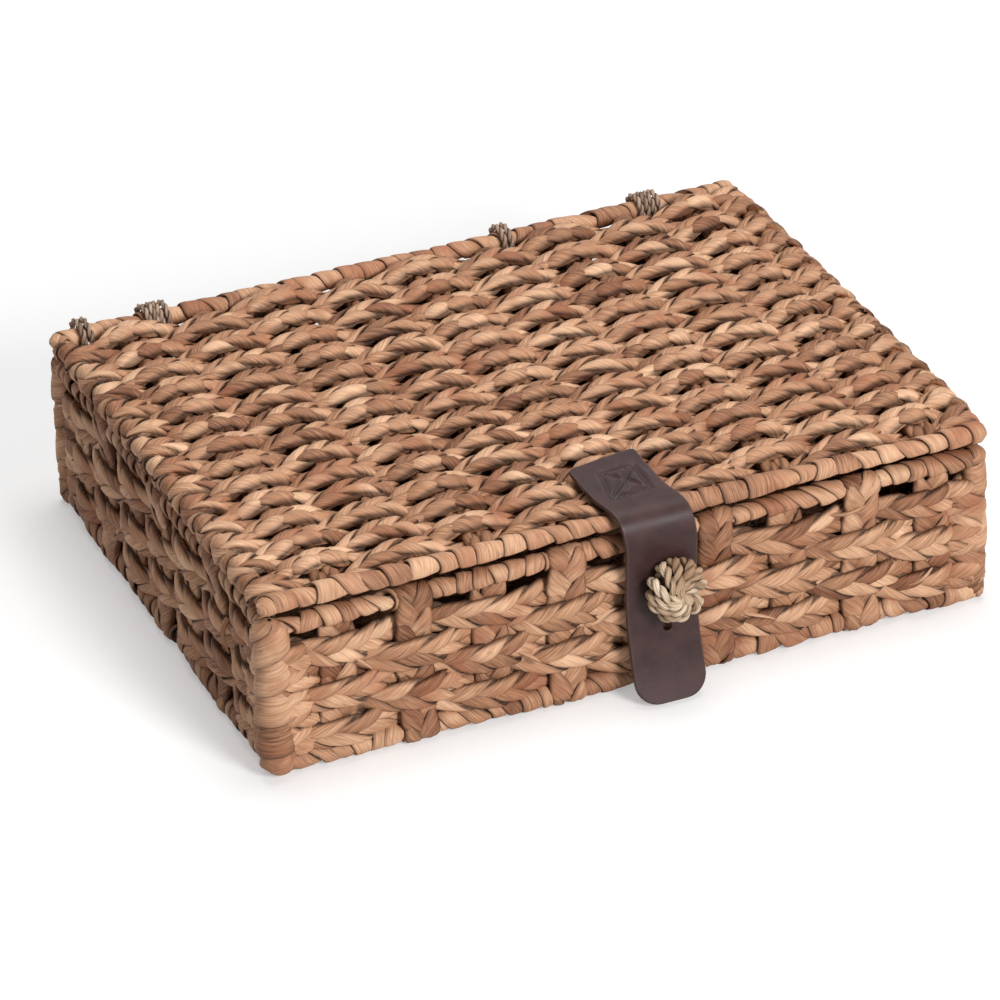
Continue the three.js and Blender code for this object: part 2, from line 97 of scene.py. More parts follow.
# Places of the weave
LID_CORDS = 9
LONG_STAKES = [middle(f"lid_stake_{k}")[0] for k in range(1, LID_CORDS + 1)]
SHORT_STAKE_PITCH = 39
SHORT_STAKES = [SHORT_STAKE_PITCH * k for k in range(-3, 4)]
WALL_ROW_WIDTH = span("front_plait_3")[2]
WALL_ROW_PITCH = span("front_plait_1")[2] - WALL_ROW_WIDTH
TOP_ROW_Z = high("front_plait_1")[2] - WALL_ROW_WIDTH / 2
LID_PAIRS = 13
LID_ROW_PITCH = (low("lid_plait_13") - low("lid_plait_1"))[1] / (2 * LID_PAIRS - 2)
LID_FIRST_ROW_Y = low("lid_plait_1")[1] + LID_ROW_PITCH / 2


# Camera and light

CAMERA_PLACE = (-1.0141, -2.4128, 1.5626)
CAMERA_HEADING = 22.57
CAMERA_DROP = 30.28
CAMERA_ROLL = -1.76
LENS_MM = 213.66
SENSOR_MM = 36


def make_camera():
    data = bpy.data.cameras.new("camera")
    data.sensor_width = SENSOR_MM
    data.lens = LENS_MM
    data.clip_end = 50
    camera = add_object("camera", data)
    camera.location = CAMERA_PLACE
    heading = Euler((0, 0, -math.radians(CAMERA_HEADING))).to_matrix()
    drop = Euler((math.radians(90 - CAMERA_DROP), 0, 0)).to_matrix()
    roll = Euler((0, 0, math.radians(CAMERA_ROLL))).to_matrix()
    camera.rotation_euler = (heading @ drop @ roll).to_euler()
    bpy.context.scene.camera = camera


make_camera()


OBJECT_MIDDLE = (0, 0, 0.05)


def area_light(name, place, size, watts):
    """A soft round lamp that points at the box. Its place and size are in metres."""
    data = bpy.data.lights.new(name, "AREA")
    data.shape = "DISK"
    data.size = size
    data.energy = watts
    lamp = add_object(name, data)
    lamp.location = place
    aim = Vector(OBJECT_MIDDLE) - Vector(place)
    lamp.rotation_euler = aim.to_track_quat("-Z", "Y").to_euler()


area_light("overhead_light", place=(0.15, 0.3, 2.3), size=1.6, watts=32)
area_light("front_light", place=(0.5, -2.4, 1.35), size=0.9, watts=60)


# Materials


def linear(hex_colour):
    """An sRGB hex colour as the linear colour that a shader takes."""
    shares = [int(hex_colour[i:i + 2], 16) / 255 for i in (1, 3, 5)]
    return [s / 12.92 if s <= 0.04045 else ((s + 0.055) / 1.055) ** 2.4 for s in shares] + [1]


def add_node(tree, kind, inputs=None, **settings):
    """A shader node with its settings, and its inputs set to values or linked to outputs. A node
    given for an input stands for its first output."""
    made = tree.nodes.new(kind)
    for name, value in settings.items():
        setattr(made, name, value)
    for name, value in (inputs or {}).items():
        if isinstance(value, bpy.types.Node):
            value = value.outputs[0]
        if isinstance(value, bpy.types.NodeSocket):
            tree.links.new(value, made.inputs[name])
        else:
            made.inputs[name].default_value = value
    return made


def new_material(name):
    material = bpy.data.materials.new(name)
    material.use_nodes = True
    material.node_tree.nodes.clear()
    return material, material.node_tree


def set_ramp(ramp, stops):
    """Gives a colour ramp its stops, each a place and a linear colour."""
    elements = ramp.color_ramp.elements
    while len(elements) > 1:
        elements.remove(elements[0])
    elements[0].position, elements[0].color = stops[0]
    for place, colour in stops[1:]:
        elements.new(place).color = colour


def grey(share):
    """A plain grey from 0 to 1, as a shader takes it."""
    return [share, share, share, 1]


# The lay of a surface is kept in its UVs, in units of 100 mm, along the fibre and then across it
LAY_UNIT = 100


def lay_scale(length, width):
    """The scale of a pattern whose marks are so many millimetres long and wide on the lay."""
    return LAY_UNIT / length, LAY_UNIT / width, 1


# Marks on dried leaf, in millimetres. Its real fibres are about 0.2 apart, which is too fine to
# show, so they are drawn coarser.
FIBRE_LENGTH, FIBRE_SPACING = 16, 0.6
FOLD_LENGTH, FOLD_SPACING = 30, 4.2
PATCH_SIZE = 24


def dried_leaf(name, pale, mid, dark, warm, hollow_shade, roughness=0.62):
    """Dried leaf, split and laid into strands by hand: a matt skin with fine fibres along each
    strand, thin dark folds, warmer patches, and painted shade, near black, where strands press together."""
    material, tree = new_material(name)
    lay = add_node(tree, "ShaderNodeUVMap", uv_map="lay")
    fibre_place = add_node(tree, "ShaderNodeMapping", {
        "Vector": lay, "Scale": lay_scale(FIBRE_LENGTH, FIBRE_SPACING),
    })
    fibre = add_node(tree, "ShaderNodeTexNoise", {
        "Vector": fibre_place, "Scale": 1, "Detail": 3, "Roughness": 0.6,
    }, noise_dimensions="2D")
    fold_place = add_node(tree, "ShaderNodeMapping", {
        "Vector": lay, "Scale": lay_scale(FOLD_LENGTH, FOLD_SPACING),
    })
    fold_noise = add_node(tree, "ShaderNodeTexNoise", {
        "Vector": fold_place, "Scale": 1, "Detail": 1.5, "Distortion": 0.3,
    }, noise_dimensions="2D")
    fold = add_node(tree, "ShaderNodeValToRGB", {"Fac": fold_noise})
    set_ramp(fold, [(0.45, grey(0)), (0.485, grey(1)), (0.5, grey(1)), (0.53, grey(0))])

    # a strand's own tint and its fibres give the tone, and some patches of leaf are warmer
    tint = add_node(tree, "ShaderNodeAttribute", attribute_name="tint")
    tone_sum = add_node(tree, "ShaderNodeMath", {
        0: fibre, 1: 0.8, 2: tint.outputs["Fac"],
    }, operation="MULTIPLY_ADD")
    tone_place = add_node(tree, "ShaderNodeMath", {0: tone_sum, 1: 0.4}, operation="SUBTRACT")
    tone = add_node(tree, "ShaderNodeValToRGB", {"Fac": tone_place})
    set_ramp(tone, [(0.14, linear(dark)), (0.5, linear(mid)), (0.89, linear(pale))])
    place = add_node(tree, "ShaderNodeTexCoord")
    patch = add_node(tree, "ShaderNodeTexNoise", {
        "Vector": place.outputs["Object"], "Scale": 1 / (PATCH_SIZE * MM), "Detail": 2,
    })
    patch_share = add_node(tree, "ShaderNodeValToRGB", {"Fac": patch})
    set_ramp(patch_share, [(0.5, grey(0)), (0.72, grey(0.75))])
    patched = add_node(tree, "ShaderNodeMix", {
        "Factor": patch_share, "A": tone, "B": linear(warm),
    }, data_type="RGBA")

    # folds are a little darker, and painted shade darkens a strand where the next one presses on it
    depth = add_node(tree, "ShaderNodeAttribute", attribute_name="depth")
    folded = add_node(tree, "ShaderNodeMath", {0: fold, 1: 0.16}, operation="MULTIPLY")
    shaded = add_node(tree, "ShaderNodeMath", {
        0: depth.outputs["Fac"], 1: 0.9, 2: folded,
    }, operation="MULTIPLY_ADD", use_clamp=True)
    colour = add_node(tree, "ShaderNodeMix", {
        "Factor": shaded, "A": patched.outputs["Result"], "B": linear(hollow_shade),
    }, data_type="RGBA")
    relief = add_node(tree, "ShaderNodeMath", {
        0: fold, 1: -0.6, 2: fibre,
    }, operation="MULTIPLY_ADD")
    bump = add_node(tree, "ShaderNodeBump", {
        "Height": relief, "Strength": 0.7, "Distance": 0.28 * MM,
    })
    skin = add_node(tree, "ShaderNodeBsdfPrincipled", {
        "Base Color": colour.outputs["Result"], "Roughness": roughness, "IOR": 1.45,
        "Specular IOR Level": 0.35, "Normal": bump,
    })
    add_node(tree, "ShaderNodeOutputMaterial", {"Surface": skin})
    return material


# The leaves and straws: pale, middle and dark tones, warm patches, and the painted shade of the hollows
# between strands.
# Flat leaf plaited by hand: warm tan, and each strand in a tone of its own
PLAITED_LEAF = dried_leaf("plaited_dry_leaf", "#e9bd99", "#ba8a69", "#734830", "#a16648", "#170b07")
# The same leaf in the uprights' plaits: a shade duller
STAKE_LEAF = dried_leaf("plaited_stake_leaf", "#dfb390", "#b28262", "#6c432c", "#986044", "#170b07")
# Leaf wound tight round a rod: paler in its dark places, as it is stretched flat
WOUND_LEAF = dried_leaf("wound_dry_leaf", "#e8bd99", "#bd8d6c", "#7f533c", "#a4694b", "#190d09")
# Leaf twisted hard into cord: darker all over, as painted shade for cords lying under the rows, and more
# even
CORD_LEAF = dried_leaf("twisted_leaf_cord", "#b98c69", "#966a4c", "#69432f", "#835440", "#180c08")
# Straw twine of the ties: greyer and drier than the leaf
TIE_STRAW = dried_leaf("grey_straw_twine", "#ccb19b", "#a68a76", "#76604f", "#987b68", "#221713", 0.7)
# Straw twine of the button: the palest of them, with deep painted shade in its creases
BUTTON_STRAW = dried_leaf(
    "pale_straw_twine", "#f6e5cb", "#b89a7d", "#503722", "#997558", "#0e0704", 0.7,
)


# Marks on leather, thread and wire, in millimetres
GRAIN_SIZE, SCUFF_SIZE = 0.9, 14
WIRE_SPOT_SIZE = 6


def tanned_leather():
    """Smooth tanned leather: a fine even grain, a soft satin sheen, faint scuffs, and edges that
    are paler where they were cut and rubbed, with a painted highlight along them as well."""
    material, tree = new_material("tanned_leather")
    lay = add_node(tree, "ShaderNodeUVMap", uv_map="lay")
    grain_place = add_node(tree, "ShaderNodeMapping", {
        "Vector": lay, "Scale": lay_scale(GRAIN_SIZE, GRAIN_SIZE),
    })
    grain = add_node(tree, "ShaderNodeTexVoronoi", {
        "Vector": grain_place, "Scale": 1, "Smoothness": 0.6,
    }, voronoi_dimensions="2D", feature="SMOOTH_F1")
    scuff_place = add_node(tree, "ShaderNodeMapping", {
        "Vector": lay, "Scale": lay_scale(SCUFF_SIZE, SCUFF_SIZE),
    })
    scuff = add_node(tree, "ShaderNodeTexNoise", {
        "Vector": scuff_place, "Scale": 1, "Detail": 4, "Roughness": 0.6,
    }, noise_dimensions="2D")
    tone = add_node(tree, "ShaderNodeValToRGB", {"Fac": scuff})
    set_ramp(tone, [(0.3, linear("#342222")), (0.7, linear("#432e2d"))])
    # the edge mark: paler cut edges, and a painted highlight where they catch the light
    rim = add_node(tree, "ShaderNodeAttribute", attribute_name="depth")
    colour = add_node(tree, "ShaderNodeMix", {
        "Factor": rim.outputs["Fac"], "A": tone, "B": linear("#4a3833"),
    }, data_type="RGBA")
    shine = add_node(tree, "ShaderNodeMath", {0: scuff, 1: 0.25, 2: 0.3}, operation="MULTIPLY_ADD")
    bump = add_node(tree, "ShaderNodeBump", {
        "Height": grain, "Strength": 0.12, "Distance": 0.2 * MM,
    })
    skin = add_node(tree, "ShaderNodeBsdfPrincipled", {
        "Base Color": colour.outputs["Result"], "Roughness": shine, "IOR": 1.5,
        "Specular IOR Level": 0.22, "Normal": bump,
    })
    add_node(tree, "ShaderNodeOutputMaterial", {"Surface": skin})
    return material


def waxed_thread():
    """Waxed sewing thread: dark, smooth, with its twist showing as a fine slant."""
    material, tree = new_material("waxed_thread")
    lay = add_node(tree, "ShaderNodeUVMap", uv_map="lay")
    # at a scale of 60 the slants of the twist are about a millimetre apart along the thread
    twist = add_node(tree, "ShaderNodeTexWave", {
        "Vector": lay, "Scale": 60, "Distortion": 0.5,
    }, wave_type="BANDS", bands_direction="DIAGONAL")
    tone = add_node(tree, "ShaderNodeValToRGB", {"Fac": twist.outputs["Fac"]})
    set_ramp(tone, [(0.2, linear("#171110")), (0.8, linear("#332827"))])
    bump = add_node(tree, "ShaderNodeBump", {
        "Height": twist.outputs["Fac"], "Strength": 0.4, "Distance": 0.1 * MM,
    })
    skin = add_node(tree, "ShaderNodeBsdfPrincipled", {
        "Base Color": tone, "Roughness": 0.5, "Normal": bump,
    })
    add_node(tree, "ShaderNodeOutputMaterial", {"Surface": skin})
    return material


def drawn_wire():
    """Plain drawn steel wire, dulled by handling in soft darker spots."""
    material, tree = new_material("drawn_wire")
    place = add_node(tree, "ShaderNodeTexCoord")
    spots = add_node(tree, "ShaderNodeTexNoise", {
        "Vector": place.outputs["Object"], "Scale": 1 / (WIRE_SPOT_SIZE * MM), "Detail": 4,
    })
    tone = add_node(tree, "ShaderNodeValToRGB", {"Fac": spots})
    set_ramp(tone, [(0.35, linear("#5a5550")), (0.65, linear("#7b756e"))])
    shine = add_node(tree, "ShaderNodeMath", {0: spots, 1: 0.3, 2: 0.3}, operation="MULTIPLY_ADD")
    skin = add_node(tree, "ShaderNodeBsdfPrincipled", {
        "Base Color": tone, "Roughness": shine, "Metallic": 1.0,
    })
    add_node(tree, "ShaderNodeOutputMaterial", {"Surface": skin})
    return material


STRAP_LEATHER = tanned_leather()
WAXED_THREAD = waxed_thread()
FRAME_WIRE = drawn_wire()

for name in ("box_frame", "lid_frame"):
    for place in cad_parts[name].material_slots:
        place.material = FRAME_WIRE


# Shapes

# How far above the table the lowest leaf lies
LOWEST = 0.1
NOISE_VALUES = 509
CURVE_STEPS = 41


def unit(vectors):
    return vectors / np.linalg.norm(vectors, axis=-1, keepdims=True)


def smooth_step(low_end, high_end, values):
    share = np.clip((np.asarray(values, float) - low_end) / (high_end - low_end), 0, 1)
    return share * share * (3 - 2 * share)


def wander(places, seed):
    """Smooth noise from -1 to 1 that changes over about one unit of place."""
    table = np.random.default_rng(seed).uniform(-1, 1, NOISE_VALUES)
    places = np.asarray(places, float)
    cell = np.floor(places).astype(int)
    share = smooth_step(0, 1, places - cell)
    return table[cell % NOISE_VALUES] * (1 - share) + table[(cell + 1) % NOISE_VALUES] * share


def line_of(x, y, z):
    """The points of a line from its three coordinates, each an array or one value."""
    return np.stack(np.broadcast_arrays(x, y, z), axis=-1)


def along_path(points, along, places):
    """Points of a line at any lengths along it."""
    return np.stack([np.interp(places, along, values) for values in points.T], axis=-1)


def lengths_along(points):
    """The length along a line at each of its points."""
    gaps = np.linalg.norm(np.diff(points, axis=0), axis=1)
    return np.concatenate([[0], np.cumsum(gaps)])


def even_steps(points, step):
    """The same line with its points a fixed step apart, and the length along it at each point."""
    length = lengths_along(points)
    along = np.linspace(0, length[-1], max(3, int(round(length[-1] / step)) + 1))
    return along_path(points, length, along), along


def bent_line(start, near, far, end):
    """Points on the curve that leaves start towards near and comes to end from far."""
    start, near, far, end = (np.array(point, float) for point in (start, near, far, end))
    share = np.linspace(0, 1, CURVE_STEPS)[:, None]
    first = (1 - share) ** 3 * start + 3 * share * (1 - share) ** 2 * near
    return first + 3 * share ** 2 * (1 - share) * far + share ** 3 * end


class Skin:
    """The skin of one piece, gathered tube by tube and then made into one mesh."""

    def __init__(self):
        self.points = []
        self.tints = []
        self.depths = []
        self.quads = []
        self.quad_lays = []
        self.caps = []
        self.cap_lays = []
        self.count = 0

    def tube(self, rings, lay, tint, depth):
        """Adds a closed tube. rings is its points, ring by ring; lay is where each lies on the
        leaf, in mm, with one more column than the rings; tint and depth, its painted shade, have a value
        a point."""
        rings[..., 2] = np.maximum(rings[..., 2], LOWEST)
        steps, sides = rings.shape[:2]
        numbers = self.count + np.arange(steps * sides).reshape(steps, sides)
        beside = np.roll(numbers, -1, axis=1)
        corners = [numbers[:-1], beside[:-1], beside[1:], numbers[1:]]
        places = [lay[:-1, :-1], lay[:-1, 1:], lay[1:, 1:], lay[1:, :-1]]
        self.quads.append(np.stack(corners, axis=-1).reshape(-1, 4))
        self.quad_lays.append(np.stack(places, axis=-2).reshape(-1, 2))
        self.caps += [numbers[0, ::-1], numbers[-1]]
        self.cap_lays += [lay[0, :-1][::-1], lay[-1, :-1]]
        self.points.append(rings.reshape(-1, 3))
        self.tints.append(np.broadcast_to(tint, (steps, sides)).reshape(-1))
        self.depths.append(np.broadcast_to(depth, (steps, sides)).reshape(-1))
        self.count += steps * sides

    def build(self, name, material, body, slot, node):
        """Makes the piece: it moves with a body and takes the place of a node of the model."""
        mesh = bpy.data.meshes.new(name)
        faces = np.concatenate(self.quads).tolist() + [cap.tolist() for cap in self.caps]
        mesh.from_pydata(np.concatenate(self.points) * MM, [], faces)
        lays = np.concatenate(self.quad_lays + self.cap_lays)
        marks = {"tint": np.concatenate(self.tints), "depth": np.concatenate(self.depths)}
        piece = dressed(name, mesh, lays, marks, material)
        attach(piece, body)
        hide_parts(node)


def dressed(name, mesh, lays, marks, material):
    """A smooth object from a mesh, with the lay of its corners and the marks of its points."""
    mesh.uv_layers.new(name="lay").data.foreach_set("uv", lays.ravel() / LAY_UNIT)
    for label, values in marks.items():
        mesh.attributes.new(label, "FLOAT", "POINT").data.foreach_set("value", values)
    mesh.polygons.foreach_set("use_smooth", np.ones(len(mesh.polygons), bool))
    mesh.materials.clear()
    mesh.materials.append(material)
    return add_object(name, mesh)


def ring_lay(along, girth, shift):
    """The lay of a strand whose fibres run along it."""
    across = shift + np.linspace(0, girth, STRAND_SIDES + 1)
    return np.stack(np.broadcast_arrays(along[:, None], across[None, :]), axis=-1)


def ways_across(path, up):
    """The ways across a path and up from it, square to it at each of its points."""
    forward = unit(np.gradient(path, axis=0))
    across = unit(np.cross(up, forward))
    return across, np.cross(forward, across)


def strand(centres, up, half_width, half_height, along, seed, ridge):
    """Rings of one leaf strand: a flattened round with ridges that run along it."""
    across, up = ways_across(centres, up)
    swell = ridged(along, seed, ridge)
    wide = (half_width[:, None] * ACROSS_STRAND * swell)[..., None] * across[:, None]
    tall = (half_height[:, None] * OUT_OF_STRAND * swell)[..., None] * up[:, None]
    return centres[:, None] + wide + tall


STRAND_SIDES = 16
STRAND_ANGLES = np.arange(STRAND_SIDES) / STRAND_SIDES * TURN
ACROSS_STRAND, OUT_OF_STRAND = np.cos(STRAND_ANGLES), np.sin(STRAND_ANGLES)
RIDGE_LENGTH = 11
LEAF_LENGTH = 38

# Painted shade: a strand is darkest along its edge, where it is pressed against the next one
EDGE_SHADE = 0.95 * smooth_step(0.87, 1, np.abs(ACROSS_STRAND))


def ridged(along, seed, ridge):
    """Swelling of a strand along each of its sides, from the folds of its leaf."""
    lanes = [wander(along / RIDGE_LENGTH + 7 * k, seed + k) for k in range(STRAND_SIDES)]
    return 1 + ridge * np.stack(lanes, axis=1)


PLAIT_STRANDS = 3
STRAND_GIRTH = 24
PLAIT_OVERLAP = 1.2
PLAIT_RISE = 0.24
STRAND_HALF_THICKNESS = 0.31
STRAND_COVER = 0.3
# How dark the painted shade on a plait's flanks is
FLANK_SHADE = 0.86
PLAIT_RIDGE = 0.06


def plait_strands(path, face, width, thickness, phase, along, seed):
    """The three flat strands of a plait laid along a path, each as rings, tint and depth, its painted
    shade.
    A strand runs over the plait from its edge to its middle, where the next one covers it, comes out
    under that one's edge, and folds round there. Its width lies along the plait, as a folded leaf's
    does."""
    side, face = ways_across(path, face)
    lead = PLAIT_OVERLAP * TURN / np.gradient(phase, along) / (2 * PLAIT_STRANDS)
    steps, width, thickness, phase, lead = (
        np.broadcast_to(values, along.shape)[:, None]
        for values in (along, width, thickness, phase, lead)
    )
    reach = 0.5 * width - 0.12 * thickness
    rise = PLAIT_RISE * thickness
    strands = []
    for k in range(PLAIT_STRANDS):
        turn = phase + TURN * k / PLAIT_STRANDS + 0.16 * wander(steps / 19, seed + 5 + k)
        sideways = reach * (np.cos(turn) + 0.1 * np.cos(3 * turn)) / 1.1
        outwards = rise * np.sin(2 * turn)
        run_side = -reach * (np.sin(turn) + 0.3 * np.sin(3 * turn)) / 1.1
        run_face = 2 * rise * np.cos(2 * turn)
        run = np.hypot(run_side, run_face)
        thick = STRAND_HALF_THICKNESS * thickness * (1 + 0.12 * wander(steps / 15, seed + 31 * k))
        thick = thick * OUT_OF_STRAND * ridged(along, seed + 100 * k, PLAIT_RIDGE)
        spread = lead * (1 + 0.1 * wander(steps / 13, seed + 61 * k))
        places = steps + spread * ACROSS_STRAND
        cover_side = STRAND_COVER * thickness * np.cos(turn) * np.abs(np.cos(turn))
        cover_out = STRAND_COVER * thickness * np.sin(turn) ** 2
        across = sideways + run_face / run * thick - cover_side * ACROSS_STRAND
        out = outwards - run_side / run * thick - cover_out * ACROSS_STRAND
        rings = along_path(path, along, places)
        rings = rings + along_path(side, along, places) * across[..., None]
        rings = rings + along_path(face, along, places) * out[..., None]
        # painted shade: darker on the plait's flanks near its middle plane, and along each strand's edge
        fold = 1 - smooth_step(0.15, 0.75, np.abs(out) / (0.5 * thickness))
        flank = smooth_step(0.6, 0.9, np.abs(across) / reach)
        depth = np.maximum(FLANK_SHADE * fold * flank, EDGE_SHADE)
        leaf = steps / LEAF_LENGTH + 11 * k
        tint = 0.5 + 0.32 * wander(leaf, seed + 7 * k) + 0.1 * wander(leaf * 4, seed + 9 * k)
        strands.append((rings, tint, depth))
    return strands


def add_plait(skin, strands, along, seed, stretch=slice(None)):
    """Adds a plait, or one stretch of it, to a piece."""
    for k, (rings, tint, depth) in enumerate(strands):
        lay = ring_lay(1.3 * along[stretch], STRAND_GIRTH, 23 * k + seed % 97)
        skin.tube(rings[stretch], lay, tint[stretch], depth[stretch])


HALF_TURN_POINTS = 12
FLAT_SHARE = 0.06


def row_heights(x, knots):
    """Height of a row between its knots, eased so that it lies flat over each of them."""
    places, heights = np.array(knots).T
    cell = np.clip(np.searchsorted(places, x, side="right") - 1, 0, len(places) - 2)
    share = (x - places[cell]) / (places[cell + 1] - places[cell])
    share = np.clip((share - FLAT_SHARE) / (1 - 2 * FLAT_SHARE), 0, 1)
    return heights[cell] + (heights[cell + 1] - heights[cell]) * (1 - np.cos(math.pi * share)) / 2


def half_turn(rod, height, radius, across_from, across_to):
    """Points round a rod from one side to the other, moving across by a row on the way."""
    share = np.linspace(0, 1, HALF_TURN_POINTS + 2)[1:-1]
    outward = math.copysign(1, rod)
    x = rod + outward * radius * np.sin(math.pi * share)
    across = across_from + (across_to - across_from) * smooth_step(0, 1, share)
    return line_of(x, across, math.copysign(radius, height) * np.cos(math.pi * share))


def tucked_end(rod, across, height, tuck):
    """The end of a plait after its last turn: back along the row, and down into the weave."""
    inward = -math.copysign(1, rod)
    steps = [(0.3, 1.0), (0.6, 0.75), (0.85, 0.3), (1.0, -0.1)]
    return [[rod + inward * tuck * run, across, height * sink] for run, sink in steps]


def weave_line(rows, stakes, rod, lift, radius, first_side, tuck, seed):
    """One plait wound back and forth over a set of rows: points as (along, across, height), and
    the middles of its turns. Its two ends go round the rods and back, and stay tucked in."""
    points = []
    turns = []
    for k, across in enumerate(rows):
        heading = 1 if k % 2 else -1
        side = -first_side if k % 2 else first_side
        rod_side = side * radius
        uneven = 1 + 0.1 * wander(1.7 * np.arange(len(stakes)) + 3.1 * k, seed)
        stake_sides = [(side if i % 2 else -side) * lift * bend for i, bend in enumerate(uneven)]
        knots = [(-rod, rod_side), *zip(stakes, stake_sides), (rod, rod_side)]
        x = np.arange(-rod, rod + 0.5, 1.0)
        height = row_heights(x, knots)
        line = line_of(x, across + 0.8 * wander(x / 29, seed + k), height)[::heading]
        if k == 0:
            back = half_turn(-heading * rod, rod_side, radius, across, across)[::-1]
            points += [*tucked_end(-heading * rod, across, -rod_side, tuck)[::-1], *back]
        points += list(line)
        if k + 1 < len(rows):
            turns.append(len(points) + HALF_TURN_POINTS // 2)
        next_across = rows[min(k + 1, len(rows) - 1)]
        points += list(half_turn(heading * rod, rod_side, radius, across, next_across))
    points += tucked_end(heading * rod, across, -rod_side, tuck)
    return np.array(points), turns


def face_of(points):
    """The outward side of a woven plait: square to its run, in the plane of run and height."""
    run = np.gradient(points, axis=0)
    run[:, 1] = 0
    run = unit(run)
    return line_of(run[:, 2], 0, -run[:, 0])


def plait_path(line, step):
    """A woven line in even steps: its points, the length along it, and its outward side."""
    path, along = even_steps(line, step)
    return path, along, unit(along_path(face_of(line), lengths_along(line), along))


# The lid's rows: one plait wound to and fro across the lid

LID_PLAIT_WIDTH = 11.0
LID_PLAIT_THICKNESS = 6.4
LID_PLAIT_PITCH = 42
LID_LIFT = 5.4
TURN_RADIUS = 4.4
PLAIT_STEP = 1.7
TURN_STEPS = 20
PRESSED_SHARE = 0.83
LID_BACK_SHIFT = (0.6, 1.5, 2.6, 3.9)
UNDER_STRAP = 1.3
TIE_ROOM = 12.5
TIES = ("left", "middle", "right", "corner")
END_ROUNDING = 4.5
LUMP_REACH = (7, 12)


def wind_leaf(skin, place, heading, length, seed, radius=4.0, pitch=10, lean=3.2, thick=1.3,
              fold=0.08, cover=0.8, sway=0.4, uneven=1.0, lumps=(), rounded=True,
              up=(0, 0, 1), pressed=0):
    """One long leaf wound round a stretch of rod, in leaning turns that each lie over the last.
    Lumps are places along it and how far it stands out there. Rounded closes it at both ends.
    Pressed is 1 or -1 where its upper or lower side lies against another rod."""
    heading, up = np.array(heading, float), np.array(up, float)
    side = np.cross(up, heading)
    turns = np.arange(0, length / pitch + 1, 1 / TURN_STEPS)
    angle = TURN * turns + seed
    leaning = lean * wander(0.8 * turns, seed) * np.cos(angle)
    leaning += lean * wander(0.8 * turns, seed + 1) * np.sin(angle)
    centre = pitch * (turns - 0.5) + leaning
    half_width = pitch * (0.7 + 0.12 * wander(1.3 * turns, seed + 2))
    x = np.clip(centre[:, None] + half_width[:, None] * ACROSS_STRAND, 0, length)
    lump = 0.8 * wander(turns / 1.1, seed + 3) + 0.4 * wander(3.1 * turns, seed + 4)
    folds = ridged(angle * radius, seed + 10, fold)
    out = radius + uneven * lump[:, None] + thick * (OUT_OF_STRAND * folds - cover * ACROSS_STRAND)
    for middle_place, height in lumps:
        out = out + height * (1 - smooth_step(*LUMP_REACH, np.abs(x - middle_place)))
    if rounded:
        from_end = np.minimum(x, length - x)
        out = out * np.sqrt(1 - np.clip(1 - from_end / END_ROUNDING, 0, 0.98) ** 2)
    spread = np.cos(angle)[:, None] * side + np.sin(angle)[:, None] * up
    rings = np.array(place, float) + x[..., None] * heading + out[..., None] * spread[:, None]
    rings += sway * wander(x / 41, seed + 5)[..., None] * side
    rings += sway * wander(x / 37, seed + 6)[..., None] * up
    if pressed:
        press_flat(rings, place[2], pressed)
    tint = 0.5 + 0.28 * wander(turns / 1.1, seed + 7) + 0.1 * wander(4 * turns, seed + 8)
    lay = ring_lay(angle * (radius + thick), 2.6 * pitch, seed % 83)
    # painted shade along the edge of each turn
    skin.tube(rings, lay, tint[:, None], EDGE_SHADE)


def press_flat(rings, height, side):
    """Flattens what stands above a rod's middle (side 1) or hangs below it (side -1)."""
    from_middle = rings[..., 2] - height
    rings[..., 2] = height + np.where(side * from_middle > 0, PRESSED_SHARE * from_middle, from_middle)


def press_under_strap(rings):
    """Keeps the lid's weave below the sewn end of the strap."""
    from_middle = np.abs(rings[..., :2] - middle("strap_tab")[:2])
    under = np.all(from_middle < span("strap_tab")[:2] / 2 + 1, axis=-1)
    pressed = np.minimum(rings[..., 2], low("strap_tab")[2] - UNDER_STRAP)
    rings[..., 2] = np.where(under, pressed, rings[..., 2])


def press_by_ties(rings):
    """Keeps the lid's last rows off the twine ties, so that they clear them as the lid turns."""
    for name in TIES:
        tie = middle(f"hinge_tie_{name}")[0]
        half = span(f"hinge_tie_{name}")[0] / 2
        past_tie = np.abs(rings[..., 0] - tie) - half
        limit = BACK_Y - TIE_ROOM + 8 * smooth_step(1.5, 10, past_tie)
        rings[..., 1] = np.minimum(rings[..., 1], limit)


def add_leaf_end(skin, start, near, far, end, width, seed):
    """A loose end of leaf: a thin strand that leaves the weave, bends and runs out to a point."""
    path, along = even_steps(bent_line(start, near, far, end), 0.8)
    share = along / along[-1]
    half_width = 0.5 * width * np.sqrt(1 - 0.97 * share)
    half_height = 0.45 * (1 - 0.6 * share)
    rings = strand(path, (0.2, -0.3, 0.9), half_width, half_height, along, seed, ridge=0.1)
    # painted shade along the strand's edges
    skin.tube(rings, ring_lay(along, 2 * width, seed % 71), 0.7, EDGE_SHADE)


